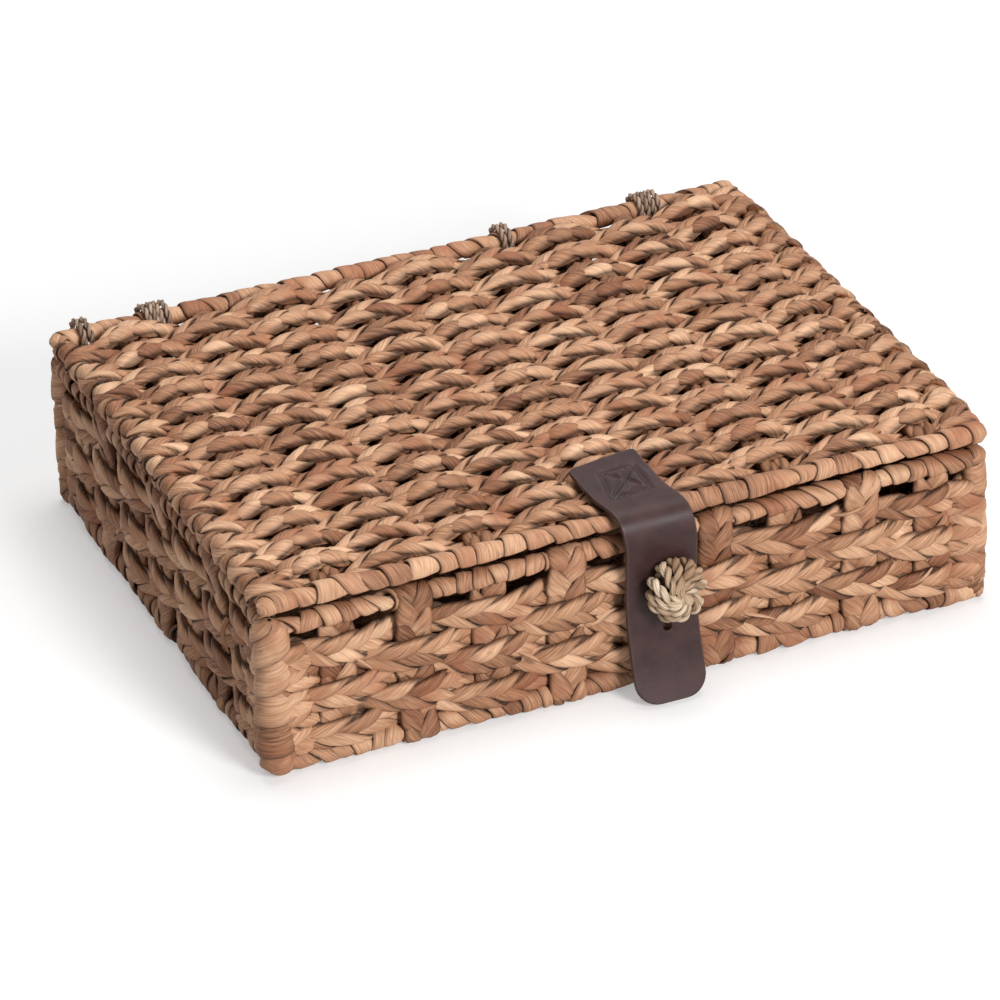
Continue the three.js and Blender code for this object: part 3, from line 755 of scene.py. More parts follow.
def make_lid_rows():
    rows = LID_FIRST_ROW_Y + LID_ROW_PITCH * np.arange(2 * LID_PAIRS)
    rows[-len(LID_BACK_SHIFT):] += LID_BACK_SHIFT
    line, turns = weave_line(
        rows, LONG_STAKES, ROD_X, LID_LIFT, TURN_RADIUS, first_side=1, tuck=16, seed=11,
    )
    path, along, face = plait_path(line, PLAIT_STEP)
    at_rod = smooth_step(ROD_X - 9, ROD_X + 1, np.abs(path[:, 0]))
    flat = np.clip(np.abs(path[:, 2]) / LID_LIFT, 0, 1)
    swell = 0.94 + 0.14 * flat + 0.06 * wander(along / 37, 12)
    width = LID_PLAIT_WIDTH * swell * (1 + 0.42 * at_rod)
    thickness = LID_PLAIT_THICKNESS * (0.98 + 0.06 * flat) * (1 - 0.26 * at_rod)
    row_share = TURN * along / LID_PLAIT_PITCH
    phase = row_share + 1.3 * wander(along / 150, 13) + 0.5 * wander(along / 40, 14)
    world = path + LID_Z * UPWARD
    strands = plait_strands(world, face, width, thickness, phase, along, seed=15)
    for rings, _, _ in strands:
        press_under_strap(rings)
        press_by_ties(rings)
    ends = [0, *np.searchsorted(along, lengths_along(line)[turns[1::2]]), len(along)]
    for k in range(LID_PAIRS):
        skin = Skin()
        add_plait(skin, strands, along, 31 * k, slice(ends[k], ends[k + 1] + 1))
        near = rows[2 * k] - LID_ROW_PITCH / 2 if k else FRONT_Y
        far = rows[2 * k + 1] + LID_ROW_PITCH / 2 if k + 1 < LID_PAIRS else BACK_Y
        for rod in (-ROD_X, ROD_X):
            wind_leaf(skin, (rod, near, LID_Z), (0, 1, 0), far - near, 50 + 3 * k + int(rod > 0),
                      radius=3.2, thick=1.1, sway=0, rounded=False)
        skin.build(f"lid_row_pair_{k + 1}", PLAITED_LEAF, "lid", "leaf_plait", f"lid_plait_{k + 1}")


make_lid_rows()


# The walls: rows of plait, upright plaits and wound rods

WALL_PLAIT_WIDTH = 13.8
WALL_PLAIT_THICKNESS = 5.4
WALL_PLAIT_PITCH = 50
WALL_LIFT = 4.2
WALL_TUCK = 19
# How far the short walls' rows run from their middle before they turn, and how tightly they turn
SHORT_ROW_REACH = span("right_plait_1")[1] / 2 - 6
SHORT_TURN_RADIUS = 3.6
WALL_ROW_RISE = [2.4, 0.4, -0.2, -0.3, -0.4]
WALL_ROW_HEIGHTS = [TOP_ROW_Z - WALL_ROW_PITCH * k + rise for k, rise in enumerate(WALL_ROW_RISE)]

# Each wall: the rod line that it stands on, the way along it and the way out of it
WALLS = {
    name: [np.array(values) for values in (place, along, out)] for name, place, along, out in (
        ("front", (0, FRONT_Y, 0), (1, 0, 0), (0, -1, 0)),
        ("back", (0, BACK_Y, 0), (1, 0, 0), (0, 1, 0)),
        ("right", (ROD_X, MIDDLE_Y, 0), (0, 1, 0), (1, 0, 0)),
        ("left", (-ROD_X, MIDDLE_Y, 0), (0, 1, 0), (-1, 0, 0)),
    )
}


def wall_measures(wall):
    """A wall's uprights, how far its rows reach and how tightly they turn, and half its rods."""
    if wall in ("front", "back"):
        return LONG_STAKES, ROD_X, TURN_RADIUS, ROD_X + ROD_LEAF_RADIUS
    return SHORT_STAKES, SHORT_ROW_REACH, SHORT_TURN_RADIUS, span("right_rim_wrap")[1] / 2


def on_wall(wall, points):
    """Points given as (along, up, out) on a wall, in the model's frame."""
    place, along, out = WALLS[wall]
    return place + points[:, :1] * along + points[:, 1:2] * UPWARD + points[:, 2:3] * out


def way_on_wall(wall, ways):
    return on_wall(wall, ways) - WALLS[wall][0]


# Loose ends of leaf: the piece they belong to, then points as (along, up, out) on the wall
LOOSE_WALL_ENDS = {
    "front": [
        (0, (108, 70, -1), (112, 69, 4), (117, 71, 7), (124, 75, 9), 4),
        (0, (-150, 60, 3), (-147, 58, 8), (-143, 55, 9), (-140, 51, 8), 3.4),
        (1, (-62, 38, 3), (-58, 37, 8), (-54, 34, 9), (-52, 31, 8), 3.6),
        (2, (150, 20, 3), (153, 21, 8), (158, 24, 9), (162, 29, 8), 3.4),
        (1, (60, 27, 3), (64, 27, 8), (69, 26, 9), (75, 22, 8), 3.2),
    ],
    "left": [
        (0, (-96, 62, 3), (-99, 60, 9), (-104, 56, 10), (-108, 50, 8), 3.4),
        (1, (40, 40, 3), (44, 40, 8), (49, 37, 9), (52, 32, 8), 3.4),
    ],
    "right": [
        (0, (-70, 58, 3), (-66, 56, 8), (-62, 53, 9), (-58, 48, 8), 3.4),
        (2, (84, 22, 3), (88, 23, 8), (93, 26, 9), (96, 31, 8), 3.4),
    ],
    "back": [
        (0, (70, 60, 3), (74, 58, 8), (78, 55, 9), (84, 52, 8), 3.4),
        (1, (-110, 38, 3), (-114, 38, 8), (-119, 35, 9), (-124, 30, 8), 3.6),
    ],
}


def make_wall_rows(wall, order):
    stakes, rod, radius, _ = wall_measures(wall)
    pieces = [Skin(), Skin(), Skin()]
    for k, height in enumerate(WALL_ROW_HEIGHTS):
        seed = 400 + 50 * order + 7 * k
        first_side = 1 if k % 2 else -1
        line, _ = weave_line([height], stakes, rod, WALL_LIFT, radius, first_side, WALL_TUCK, seed)
        path, along, face = plait_path(line, PLAIT_STEP)
        at_rod = smooth_step(rod - 9, rod + 1, np.abs(path[:, 0]))
        flat = np.clip(np.abs(path[:, 2]) / WALL_LIFT, 0, 1)
        width = WALL_PLAIT_WIDTH * (0.9 + 0.12 * flat + 0.06 * wander(along / 37, seed + 1))
        thickness = WALL_PLAIT_THICKNESS * (1 - 0.2 * at_rod)
        phase = TURN * along / WALL_PLAIT_PITCH + 1.3 * wander(along / 110, seed + 2)
        phase = phase + 2.1 * k + order
        strands = plait_strands(
            on_wall(wall, path), way_on_wall(wall, face), width, thickness, phase, along, seed + 3,
        )
        add_plait(pieces[k // 2], strands, along, seed)
    for k, (row, start, near, far, end, width) in enumerate(LOOSE_WALL_ENDS[wall]):
        points = on_wall(wall, np.array([start, near, far, end], float))
        add_leaf_end(pieces[row], *points, width, 3000 + 10 * order + k)
    for k, skin in enumerate(pieces):
        node = f"{wall}_plait_{k + 1}"
        skin.build(f"{wall}_rows_{k + 1}", PLAITED_LEAF, "box", "leaf_plait", node)


CORNER_FOOT, CORNER_TOP = 2.0, 88.0
WOUND_CORNER = {"radius": 6.4, "lean": 4.5, "thick": 2.2, "cover": 1.0}
WOVEN_CORNER = {"radius": 4.8, "lean": 3.0, "thick": 1.5, "cover": 0.7}
STAKE_WIDTH = 18.5
STAKE_THICKNESS = 4.4
STAKE_PITCH = 46
STAKE_WIGGLE = 1.3
STAKE_TURN_RADIUS = 4.35
# Where an upright crosses a rod, the leaf wound round that rod is pulled in
STAKE_CROSSING = -1.9


def stake_line(over_rim):
    """An upright plait as (height, out): over the rim rod and under the base rod, or tucked in."""
    wiggle = STAKE_WIGGLE if over_rim else -STAKE_WIGGLE
    middle_run = [
        (height, -wiggle if k % 2 else wiggle) for k, height in enumerate(WALL_ROW_HEIGHTS[::-1])
    ]
    if not over_rim:
        return [(BASE_Z + 1, 0.2), *middle_run, (RIM_Z - 4, -0.4)]
    turn = np.linspace(0, math.pi, 9)
    out, rise = STAKE_TURN_RADIUS * np.cos(turn), STAKE_TURN_RADIUS * np.sin(turn)
    foot = zip(BASE_Z - rise, -out)
    top = zip(RIM_Z + rise, out)
    return [(BASE_Z + 9, -3.2), *foot, *middle_run, *top, (RIM_Z - 9, -3.6)]


def smooth_line(points, rounds=3):
    """Rounds the corners of a line by cutting each of them."""
    points = np.asarray(points, float)
    for _ in range(rounds):
        near = 0.75 * points[:-1] + 0.25 * points[1:]
        far = 0.25 * points[:-1] + 0.75 * points[1:]
        cut = np.stack([near, far], axis=1).reshape(-1, points.shape[1])
        points = np.concatenate([points[:1], cut, points[-1:]])
    return points


def make_wall_stakes(wall, order):
    """The uprights of a wall and the leaf wound round its base rod, then its rim's wound leaf."""
    long_wall = wall in ("front", "back")
    stakes, _, _, half = wall_measures(wall)
    skin = Skin()
    for i, place in enumerate(stakes):
        seed = 900 + 60 * order + 5 * i
        line = smooth_line(stake_line(over_rim=i % 2 == 1))
        path, along = even_steps(line_of(place, line[:, 0], line[:, 1]), PLAIT_STEP)
        run = unit(np.gradient(path, axis=0))
        face = line_of(0, run[:, 2], -run[:, 1])
        path[:, 0] += 0.8 * wander(along / 31, seed)
        width = STAKE_WIDTH * (0.97 + 0.06 * wander(along / 23, seed + 1))
        phase = TURN * along / STAKE_PITCH + 2.4 * i + order
        strands = plait_strands(
            on_wall(wall, path), way_on_wall(wall, face), width, STAKE_THICKNESS, phase, along, seed + 2,
        )
        for rings, _, _ in strands:
            press_flat(rings, RIM_Z, side=1)
        add_plait(skin, strands, along, seed)
    place, heading, _ = WALLS[wall]
    start = place - half * heading
    lumps = [(crossing + half, STAKE_CROSSING) for crossing in stakes[1::2]]
    wind_leaf(skin, start + BASE_Z * UPWARD, heading, 2 * half, 1300 + 20 * order,
              lumps=lumps, rounded=long_wall)
    for k, rod in enumerate((-ROD_X, ROD_X) if long_wall else ()):
        column = WOUND_CORNER if wall == "front" and rod < 0 else WOVEN_CORNER
        foot = place + np.array([rod, 0, CORNER_FOOT])
        wind_leaf(skin, foot, (0, 0, 1), CORNER_TOP - CORNER_FOOT, 1450 + 20 * order + k,
                  pitch=17, fold=0.04, up=(0, 1, 0), **column)
    skin.build(f"{wall}_uprights", STAKE_LEAF, "box", "leaf_stake", f"{wall}_wall_stakes")
    rim = Skin()
    wind_leaf(rim, start + RIM_Z * UPWARD, heading, 2 * half, 1400 + 20 * order,
              lumps=lumps, pitch=9, rounded=long_wall, pressed=1)
    rim.build(f"{wall}_rim_leaf", WOUND_LEAF, "box", "leaf_wrap", f"{wall}_rim_wrap")


for order, wall in enumerate(WALLS):
    make_wall_rows(wall, order)
    make_wall_stakes(wall, order)


def make_lid_edges():
    reach = ROD_X + ROD_LEAF_RADIUS
    edges = (("front", FRONT_Y, 12, 1.0), ("back", BACK_Y, 11, 0.5))
    for k, (name, y, pitch, uneven) in enumerate(edges):
        skin = Skin()
        wind_leaf(skin, (-reach, y, LID_Z), (1, 0, 0), 2 * reach, 1500 + 30 * k, pitch=pitch,
                  uneven=uneven, pressed=-1)
        skin.build(f"lid_{name}_edge", WOUND_LEAF, "lid", "leaf_wrap", f"lid_{name}_wrap")


make_lid_edges()


# Twisted cords and twine


def carried_frame(path):
    """Two ways across a line at each of its points, carried along it without twist."""
    forward = unit(np.gradient(path, axis=0))
    start = np.cross(forward[0], [0.3, 0.2, 1.0])
    across = [start / np.linalg.norm(start)]
    for way in forward[1:]:
        moved = across[-1] - way * np.dot(across[-1], way)
        across.append(moved / np.linalg.norm(moved))
    across = np.array(across)
    return across, np.cross(forward, across)


TWINE_PLIES = 2


def add_twine(skin, line, ply_radius, ply_offset, lay_length, seed, step, flat=0.06):
    """Twisted twine laid along a line. Flat is how far the folds of its plies swell and sink."""
    path, along = even_steps(line, step)
    across, above = carried_frame(path)
    for k in range(TWINE_PLIES):
        turn = TURN * (along / lay_length + k / TWINE_PLIES)
        outward = across * np.cos(turn)[:, None] + above * np.sin(turn)[:, None]
        centres = path + ply_offset * outward
        girth = ply_radius * (1 + 0.12 * wander(along / (3 * ply_radius), seed + 5 + k))
        rings = strand(centres, across + 1e-3, girth, girth, along, seed + 17 * k, flat)
        # painted shade: darker towards the middle of the twine, between its plies
        offset = np.linalg.norm(rings - path[:, None], axis=2) / (ply_offset + ply_radius)
        depth = 1 - smooth_step(0.35, 0.92, offset)
        tint = 0.5 + 0.22 * wander(along / 21, seed + 3 + k)[:, None]
        lay = ring_lay(along, TURN * ply_radius, 13 * k + seed % 89)
        skin.tube(rings, lay, tint, depth)


CORD_HALF_WIDTH = 3.4
CORD_WEAVE = 0.9
CORD_PLY_RADIUS = 2.6
CORD_PLY_OFFSET = 1.1
CORD_LAY = 23


def make_lid_cords():
    for k in range(1, LID_CORDS + 1):
        node = f"lid_stake_{k}"
        x = middle(node)[0]
        spread = span(node)[0] / 2 - CORD_HALF_WIDTH
        y = np.arange(FRONT_Y + 2, high(node)[1] - 4, 1.5)
        weave = CORD_WEAVE * np.cos(math.pi * (y - LID_FIRST_ROW_Y) / LID_ROW_PITCH)
        height = LID_Z + weave * (1 if k % 2 else -1)
        bend = np.linspace(0, math.pi, 7)[1:-1]
        line = np.concatenate([
            line_of(x - spread, y, height),
            line_of(x - spread * np.cos(bend), y[-1] + spread * np.sin(bend), height[-1]),
            line_of(x + spread, y, height)[::-1],
        ])
        skin = Skin()
        add_twine(skin, line, CORD_PLY_RADIUS, CORD_PLY_OFFSET, CORD_LAY, 1600 + 20 * k,
                  step=1.6, flat=0.14)
        skin.build(f"lid_cord_{k}", CORD_LEAF, "lid", "leaf_cord", node)


make_lid_cords()


# The ties: twine wound round the two back rods. They are the lid's hinge.

TIE_PITCH = 3.5
TIE_TWINE = 2.8
TIE_RADIUS = 8.5
TIE_PLY_RADIUS = 0.95
TIE_PLY_OFFSET = 0.75
TWINE_LAY = 10


def tie_line(centre, turns, seed):
    """Loops round the two back rods, from one side of the tie to the other."""
    share = np.linspace(0, turns, int(turns * 48))
    angle = TURN * share
    lean = 0.5 * wander(share * 1.7, seed)
    z_middle = (RIM_Z + LID_Z) / 2
    half = (LID_Z - RIM_Z) / 2
    y = BACK_Y + TIE_RADIUS * np.cos(angle)
    z = z_middle + TIE_RADIUS * np.sin(angle) + half * np.clip(2.2 * np.sin(angle), -1, 1)
    x = centre + TIE_PITCH * (share - turns / 2) + lean
    return line_of(x, y, z)


def make_ties():
    for k, name in enumerate(TIES):
        node = f"hinge_tie_{name}"
        turns = round((span(node)[0] - TIE_TWINE) / TIE_PITCH)
        skin = Skin()
        line = tie_line(middle(node)[0], turns, 1900 + k)
        add_twine(skin, line, TIE_PLY_RADIUS, TIE_PLY_OFFSET, TWINE_LAY, 1910 + 10 * k, step=0.9)
        skin.build(f"tie_{name}", TIE_STRAW, "box", "tie_twine", node)


make_ties()


# The button: a ball of looped twine on a twine shank, with a knot inside the wall

KNOT = middle("button_knot")
KNOT_REACH = span("button_knot") / 2
# A ply's radius and its distance from the middle of the twine, and the length of one twist
BUTTON_PLY = (1.55, 1.2)
BUTTON_LAY = 12
PETALS = 12
PETAL_SWIRL = 0.75
PETAL_REACH = 13.6
# One loop as (distance from the middle, share of the half thickness)
PETAL_LINE = [(0.6, 0.3), (1.2, 0.7), (3.4, 0.98), (7.4, 1.02), (11.4, 0.72), (PETAL_REACH, 0.1),
              (12.8, -0.5), (9.0, -0.84), (4.0, -0.92), (1.0, -0.9)]


def petal_line(angle, sideways):
    """One loop of the button, from the middle of its face, out round its edge, to its back."""
    line = smooth_line(PETAL_LINE, 2)
    reach = line[:, 0] / PETAL_REACH
    swirl = angle + PETAL_SWIRL * (1 - reach)
    fan = sideways * (0.3 + 0.7 * reach)
    x = KNOT[0] + (KNOT_REACH[0] - 1.2) * reach * np.cos(swirl) - fan * np.sin(swirl)
    z = KNOT[2] + (KNOT_REACH[2] - 1.2) * reach * np.sin(swirl) + fan * np.cos(swirl)
    y = KNOT[1] - (KNOT_REACH[1] - 1.1) * line[:, 1]
    return line_of(x, y, z)


def make_button():
    skin = Skin()
    # painted shade: the near-black core, which shows between the loops
    share = np.linspace(0.04, 0.96, 11)[:, None]
    radius = 0.66 * np.sin(math.pi * share)
    core = line_of(
        KNOT[0] + radius * KNOT_REACH[0] * ACROSS_STRAND,
        KNOT[1] + 0.6 * KNOT_REACH[1] * np.cos(math.pi * share),
        KNOT[2] + radius * KNOT_REACH[2] * OUT_OF_STRAND,
    )
    skin.tube(core, ring_lay(np.linspace(0, 20, 11), 60, 0), 0.3, 0.95)
    for petal in range(PETALS):
        angle = TURN * petal / PETALS + 0.12 * wander(petal * 1.3, 2000)
        bulge = 0.5 * wander(petal * 2.1, 2001)
        line = petal_line(angle, 0.6 * wander(petal * 1.7, 2002))
        line[:, 1] -= bulge
        add_twine(skin, line, *BUTTON_PLY, BUTTON_LAY, 2010 + 5 * petal, step=0.8, flat=0.2)
    skin.build("twine_button", BUTTON_STRAW, "button", "button_twine", "button_knot")


SHANK_PLY = (0.55, 0.42)
SHANK_SHIFT, SHANK_SPREAD = 0.4, 0.6
SHANK_BALL_RADIUS, SHANK_BALL_DEPTH = 1.7, 1.6
BALL_PLY = (0.62, 0.5)
SHANK_LAY = 5


def make_shank():
    """Two twines from the button through the wall, and the small knot that holds them inside."""
    x, _, z = middle("button_shank")
    front, back = low("button_shank")[1] - 1.5, high("button_shank")[1] - 3
    skin = Skin()
    for side in (-1, 1):
        y = np.linspace(front, back, 20)
        height = z + SHANK_SPREAD * side + 0.2 * wander(y / 5, 2100)
        line = line_of(x + SHANK_SHIFT, y, height)
        add_twine(skin, line, *SHANK_PLY, SHANK_LAY, 2110 + side, step=0.7)
    turn = np.linspace(0, 3 * TURN, 90)
    ball = line_of(
        x + SHANK_BALL_RADIUS * np.cos(turn) * (1 + 0.15 * np.sin(turn * 0.8)),
        back + SHANK_BALL_DEPTH * np.sin(turn * 1.33),
        z + SHANK_BALL_RADIUS * np.sin(turn) * (1 + 0.15 * np.cos(turn * 0.8)),
    )
    add_twine(skin, ball, *BALL_PLY, SHANK_LAY, 2120, step=0.7)
    skin.build("button_twine_shank", BUTTON_STRAW, "button", "button_twine", "button_shank")


make_button()
make_shank()


# The strap: one piece of leather, sewn on the lid, bent over its front edge and hanging down

STRAP_WIDTH = 38
STRAP_THICKNESS = 2.4
STRAP_EDGE = 0.5
STRAP_TOP = middle("strap_tab")[2]
STRAP_BACK = high("strap_tab")[1]
# The strap from its sewn end to its tip, as (y, z): flat on the lid, over its edge, and down
STRAP_REST = [(STRAP_BACK, STRAP_TOP + 1.6), (STRAP_BACK - 9, STRAP_TOP + 0.6),
              (STRAP_BACK - 17, STRAP_TOP + 0.2), (STRAP_BACK - 33, STRAP_TOP)]
STRAP_FOLD = [(FRONT_Y - 1.0, 103.7), (FRONT_Y - 9.5, 103.5),
              (FRONT_Y - 15.6, 99.5), (FRONT_Y - 15.2, 87.0)]
STRAP_HANG = [STRAP_FOLD[-1], (FRONT_Y - 14.8, 75.0), (FRONT_Y - 1.5, 54.0), (FRONT_Y - 25.9, 1.8)]
# How far it has drifted to the right by each length along it, how far its sewn end is turned,
# and how far the edges of its hanging end curl in
STRAP_DRIFT = [(0, 3.4), (33, 4.0), (50, 8.2), (64, 9.9), (85, 11.6), (118, 11.5), (150, 11.3)]
STRAP_TURN = 0.15
STRAP_CURL = 0.5
# The button's slit: its ends as (x, z), how far the button holds it open, and its round hole
SLIT_TOP, SLIT_FOOT = (15.0, 66.0), (13.2, 37.8)
SLIT_OPEN = 2.1
SLIT_HALF_WIDTH = 0.7
SLIT_HOLE_RADIUS = 2.3

# The strap's middle line seen from its side, as (y, z) at even lengths along it
STRAP_LINE, STRAP_ALONG = even_steps(
    np.concatenate([STRAP_REST, bent_line(*STRAP_FOLD), bent_line(*STRAP_HANG)[1:]]), 0.5,
)
STRAP_LENGTH = STRAP_ALONG[-1]
# Heights are looked up from this step of the line on, close to where the strap leaves the lid
STRAP_HANG_START = 60


def on_strap(points):
    """Points given as (across, along, out) on the flat strap, bent to the strap's place."""
    across, along, out = points[:, 0], points[:, 1], points[:, 2]
    along = along - STRAP_TURN * across * (1 - smooth_step(0, 42, along))
    y, z = along_path(STRAP_LINE, STRAP_ALONG, along).T
    y = y - np.minimum(along, 0)
    run = unit(np.gradient(STRAP_LINE, axis=0))
    run_y, run_z = along_path(run, STRAP_ALONG, along).T
    drift = np.interp(along, *zip(*STRAP_DRIFT))
    curl = STRAP_CURL * smooth_step(60, 100, along) * (np.abs(across) / (STRAP_WIDTH / 2)) ** 2
    out = out - curl
    return line_of(across + drift, y + out * run_z, z - out * run_y)


def height_on_strap(height):
    """How far along the strap it hangs at a height."""
    hanging = slice(STRAP_HANG_START, None)
    return float(np.interp(-height, -STRAP_LINE[hanging, 1], STRAP_ALONG[hanging]))


def strap_outline(near_radius, far_radius):
    """The strap's outline laid flat, with its corners rounded."""
    points = []
    for side, y, radius, start in (
        (-1, near_radius, near_radius, 180),
        (1, near_radius, near_radius, 270),
        (1, STRAP_LENGTH - far_radius, far_radius, 0),
        (-1, STRAP_LENGTH - far_radius, far_radius, 90),
    ):
        x = side * (STRAP_WIDTH / 2 - radius)
        for angle in np.radians(np.linspace(start, start + 90, 9)):
            points.append((x + radius * math.cos(angle), y + radius * math.sin(angle)))
    return points


def slit_outline():
    """The cut for the button, held open at its top and with a round hole at its lower end."""
    top, foot = height_on_strap(SLIT_TOP[1]), height_on_strap(SLIT_FOOT[1])
    drift = np.interp([top, foot], *zip(*STRAP_DRIFT))
    top_x, foot_x = SLIT_TOP[0] - drift[0], SLIT_FOOT[0] - drift[1]
    corners = ((-1, 3), (-0.6, 0), (0.6, 0), (1, 3), (1, 7))
    points = [(top_x + SLIT_OPEN * side, top + down) for side, down in corners]
    start = math.asin(SLIT_HALF_WIDTH / SLIT_HOLE_RADIUS)
    for angle in np.linspace(math.pi / 2 - start, -1.5 * math.pi + start, 21):
        x = foot_x + SLIT_HOLE_RADIUS * math.cos(angle)
        points.append((x, foot - SLIT_HOLE_RADIUS * math.sin(angle)))
    return [*points, (top_x - SLIT_OPEN, top + 7)]


def flat_strap_mesh():
    """The strap laid flat: x across it, y along it, z through its thickness, with its edges eased."""
    curve = bpy.data.curves.new("strap_outline", "CURVE")
    curve.dimensions = "2D"
    curve.fill_mode = "BOTH"
    curve.extrude = STRAP_THICKNESS / 2 - STRAP_EDGE
    curve.bevel_depth = STRAP_EDGE
    curve.bevel_resolution = 3
    curve.offset = -STRAP_EDGE
    for outline in (strap_outline(near_radius=3, far_radius=12), slit_outline()):
        spline = curve.splines.new("POLY")
        spline.points.add(len(outline) - 1)
        for point, (x, y) in zip(spline.points, outline):
            point.co = (x, y, 0, 1)
        spline.use_cyclic_u = True
    flat = add_object("strap_outline", curve)
    graph = bpy.context.evaluated_depsgraph_get()
    mesh = bpy.data.meshes.new_from_object(flat.evaluated_get(graph))
    bpy.data.objects.remove(flat)
    shape = bmesh.new()
    shape.from_mesh(mesh)
    bmesh.ops.remove_doubles(shape, verts=shape.verts, dist=0.001)
    # cuts across the whole strap, finer ones under the seams, and cuts along it
    for places, way in (
        (np.arange(1.5, STRAP_LENGTH, 1.5), Vector((0, 1, 0))),
        (np.arange(6.4, 41, 0.75), Vector((0, 1, 0))),
        (np.arange(-17.5, 18, 1), Vector((1, 0, 0))),
    ):
        for place in places:
            geometry = shape.verts[:] + shape.edges[:] + shape.faces[:]
            bmesh.ops.bisect_plane(shape, geom=geometry, plane_co=way * place, plane_no=way)
    bmesh.ops.recalc_face_normals(shape, faces=shape.faces)
    shape.to_mesh(mesh)
    shape.free()
    return mesh


# The seams on the strap, as (across, along): a box with a cross through it
PATCH = [(-5.9, 11.3), (12.1, 12.8), (11.0, 34.0), (-10.8, 35.2)]
SEAMS = [*zip(PATCH, PATCH[1:] + PATCH[:1]), (PATCH[0], PATCH[2]), (PATCH[1], PATCH[3])]
SEAM_SINK = 1.1
SEAM_REACH = 1.3


def seam_sink(places):
    """How far the sewn leather is drawn down near its seams, and puffed up between them."""
    nearest = np.full(len(places), 1e3)
    for start, end in SEAMS:
        start, run = np.array(start), np.array(end) - np.array(start)
        share = np.clip((places - start) @ run / (run @ run), 0, 1)
        nearest = np.minimum(nearest, np.linalg.norm(places - start - share[:, None] * run, axis=1))
    inside = 1 - smooth_step(10, 17, np.linalg.norm(places - np.mean(PATCH, axis=0), axis=1))
    puff = 0.7 * inside * (1 + wander(places[:, 0] / 4 + places[:, 1] / 7, 2301))
    return puff * smooth_step(0.5, 3, nearest) - SEAM_SINK * np.exp(-(nearest / SEAM_REACH) ** 2)


def make_strap():
    mesh = flat_strap_mesh()
    flat = np.array([vertex.co for vertex in mesh.vertices])
    flat[:, 2] += seam_sink(flat[:, :2])
    mesh.vertices.foreach_set("co", (on_strap(flat) * MM).ravel())
    corners = np.array([loop.vertex_index for loop in mesh.loops])
    edge = np.minimum(STRAP_WIDTH / 2 - np.abs(flat[:, 0]), STRAP_LENGTH - flat[:, 1])
    # the rim mark: paler cut edges, with a painted highlight along them
    rim = 1 - smooth_step(0.1, 1.1, np.minimum(edge, flat[:, 1]))
    lays = flat[corners][:, [1, 0]]
    strap = dressed("leather_strap", mesh, lays, {"depth": rim}, STRAP_LEATHER)
    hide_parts("strap_tab", "strap_flap")
    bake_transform(strap)


STITCH_LENGTH = 2.9
STITCH_GAP = 0.7
STITCH_RADIUS = 0.42


def make_stitching():
    skin = Skin()
    for k, (start, end) in enumerate(SEAMS):
        start, end = np.array(start), np.array(end)
        length = float(np.linalg.norm(end - start))
        count = round(length / (STITCH_LENGTH + STITCH_GAP))
        pitch = length / count
        for i in range(count):
            share = np.linspace(0, 1, 9)
            step = (i + 0.5 + (share[:, None] - 0.5) * 0.9) * pitch / length
            place = start + (end - start) * step
            arch = 0.34 * np.sin(math.pi * share) ** 0.5 - 0.2
            out = STRAP_THICKNESS / 2 + arch + seam_sink(place)
            points = on_strap(np.column_stack([place, out]))
            girth = STITCH_RADIUS * (0.5 + 0.5 * np.sin(math.pi * share) ** 0.4)
            along = share * STITCH_LENGTH
            rings = strand(points, (0, 0.01, 1), girth, girth * 0.9, along, 2300 + 9 * k + i, 0.05)
            skin.tube(rings, ring_lay(along, 2.6, 0), 0.5, 0.0)
    skin.build("strap_stitches", WAXED_THREAD, "lid", "strap_thread", "strap_stitching")


make_strap()
make_stitching()


# The floor mat, woven as the walls are: one plait to and fro, over and under nine others

MAT_ROW_PITCH = 10.8
MAT_MIDDLE_Z = 4.2
MAT_LIFT = 1.4
MAT_TURN_RADIUS = 2.0
MAT_STEP = 2.6
MAT_PLAIT_WIDTH, MAT_PLAIT_THICKNESS, MAT_PLAIT_PITCH = 11.6, 4.2, 44
MAT_STAKE_WIDTH, MAT_STAKE_THICKNESS, MAT_STAKE_PITCH = 15.0, 3.0, 34


def make_floor_mat():
    (_, front, _), (reach, back, _) = low("floor_mat"), high("floor_mat")
    rows = np.linspace(front + 5, back - 5, round((back - front - 10) / MAT_ROW_PITCH) + 1)
    skin = Skin()
    line, _ = weave_line(
        rows, LONG_STAKES, reach - 4, MAT_LIFT, MAT_TURN_RADIUS, first_side=1, tuck=10, seed=2500,
    )
    path, along, face = plait_path(line, MAT_STEP)
    phase = TURN * along / MAT_PLAIT_PITCH + 1.2 * wander(along / 120, 2501)
    world = path + MAT_MIDDLE_Z * UPWARD
    strands = plait_strands(world, face, MAT_PLAIT_WIDTH, MAT_PLAIT_THICKNESS, phase, along, 2502)
    add_plait(skin, strands, along, 7)
    y = np.arange(front + 2, back - 2, MAT_STEP)
    along = y - y[0]
    for k, x in enumerate(LONG_STAKES):
        line = line_of(x, y, MAT_MIDDLE_Z)
        phase = TURN * y / MAT_STAKE_PITCH + k
        strands = plait_strands(
            line, UPWARD, MAT_STAKE_WIDTH, MAT_STAKE_THICKNESS, phase, along, 2600 + k,
        )
        add_plait(skin, strands, along, 2600 + k)
    skin.build("woven_floor", PLAITED_LEAF, "box", "leaf_plait", "floor_mat")


make_floor_mat()


# Floor and background

# How far the floor runs from the box each way, in metres
FLOOR_REACH = 12


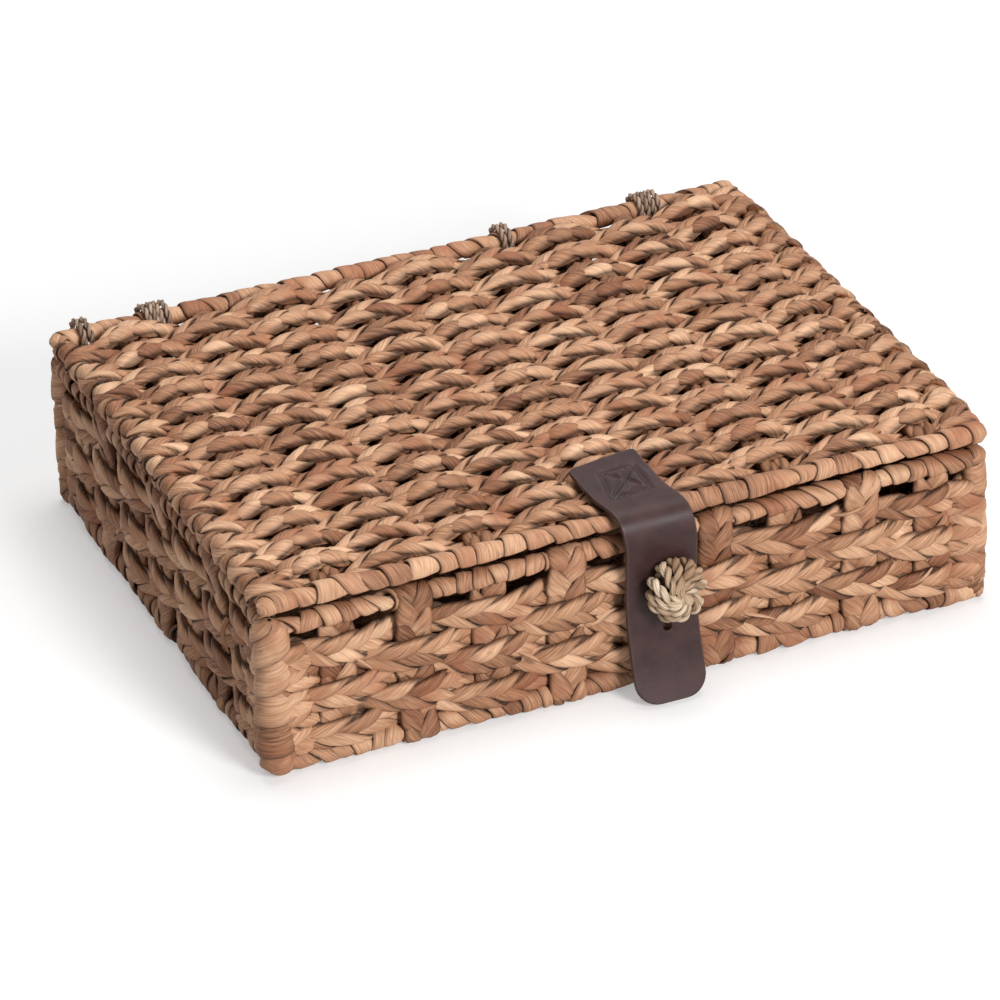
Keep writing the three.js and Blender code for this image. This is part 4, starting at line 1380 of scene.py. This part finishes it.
def seen_rays(tree):
    """A value of 1 where the camera sees a surface, straight or by way of another, and else 0."""
    path = add_node(tree, "ShaderNodeLightPath")
    seen = path.outputs["Is Camera Ray"]
    for way in ("Is Glossy Ray", "Is Transmission Ray"):
        seen = add_node(tree, "ShaderNodeMath", {0: seen, 1: path.outputs[way]}, operation="MAXIMUM")
    return seen


def make_floor():
    """A pale seamless floor. Camera and mirror rays see it nearly white, and it keeps the shadow."""
    material, tree = new_material("studio_floor")
    paper = add_node(tree, "ShaderNodeBsdfDiffuse", {"Color": grey(0.7)})
    pale = add_node(tree, "ShaderNodeBsdfDiffuse", {"Color": grey(0.68)})
    place = add_node(tree, "ShaderNodeTexCoord")
    distance = add_node(tree, "ShaderNodeVectorMath", {
        0: place.outputs["Object"],
    }, operation="LENGTH")
    # it fades to white from half a metre to one and a half metres away, as studio paper does
    fade = add_node(tree, "ShaderNodeMapRange", {
        "Value": distance.outputs["Value"],
        "From Min": 0.5, "From Max": 1.5, "To Min": 0.36, "To Max": 1.1,
    }, interpolation_type="SMOOTHSTEP")
    lift = add_node(tree, "ShaderNodeEmission", {"Color": grey(1), "Strength": fade})
    seen_floor = add_node(tree, "ShaderNodeAddShader", {0: pale, 1: lift})
    both = add_node(tree, "ShaderNodeMixShader", {0: seen_rays(tree), 1: paper, 2: seen_floor})
    add_node(tree, "ShaderNodeOutputMaterial", {"Surface": both})
    mesh = bpy.data.meshes.new("studio_floor")
    corners = [(-1, -1), (1, -1), (1, 1), (-1, 1)]
    mesh.from_pydata([(FLOOR_REACH * x, FLOOR_REACH * y, 0) for x, y in corners], [], [(0, 1, 2, 3)])
    mesh.materials.append(material)
    add_object("studio_floor", mesh)


def make_world():
    """Dim light from all round the box, which the camera sees as plain white."""
    world = bpy.data.worlds.new("studio_world")
    world.use_nodes = True
    tree = world.node_tree
    tree.nodes.clear()
    soft = add_node(tree, "ShaderNodeBackground", {"Color": grey(1), "Strength": 0.22})
    white = add_node(tree, "ShaderNodeBackground", {"Color": grey(1), "Strength": 1.0})
    both = add_node(tree, "ShaderNodeMixShader", {0: seen_rays(tree), 1: soft, 2: white})
    add_node(tree, "ShaderNodeOutputWorld", {"Surface": both})
    bpy.context.scene.world = world


make_floor()
make_world()

bpy.context.scene.view_settings.view_transform = "Standard"
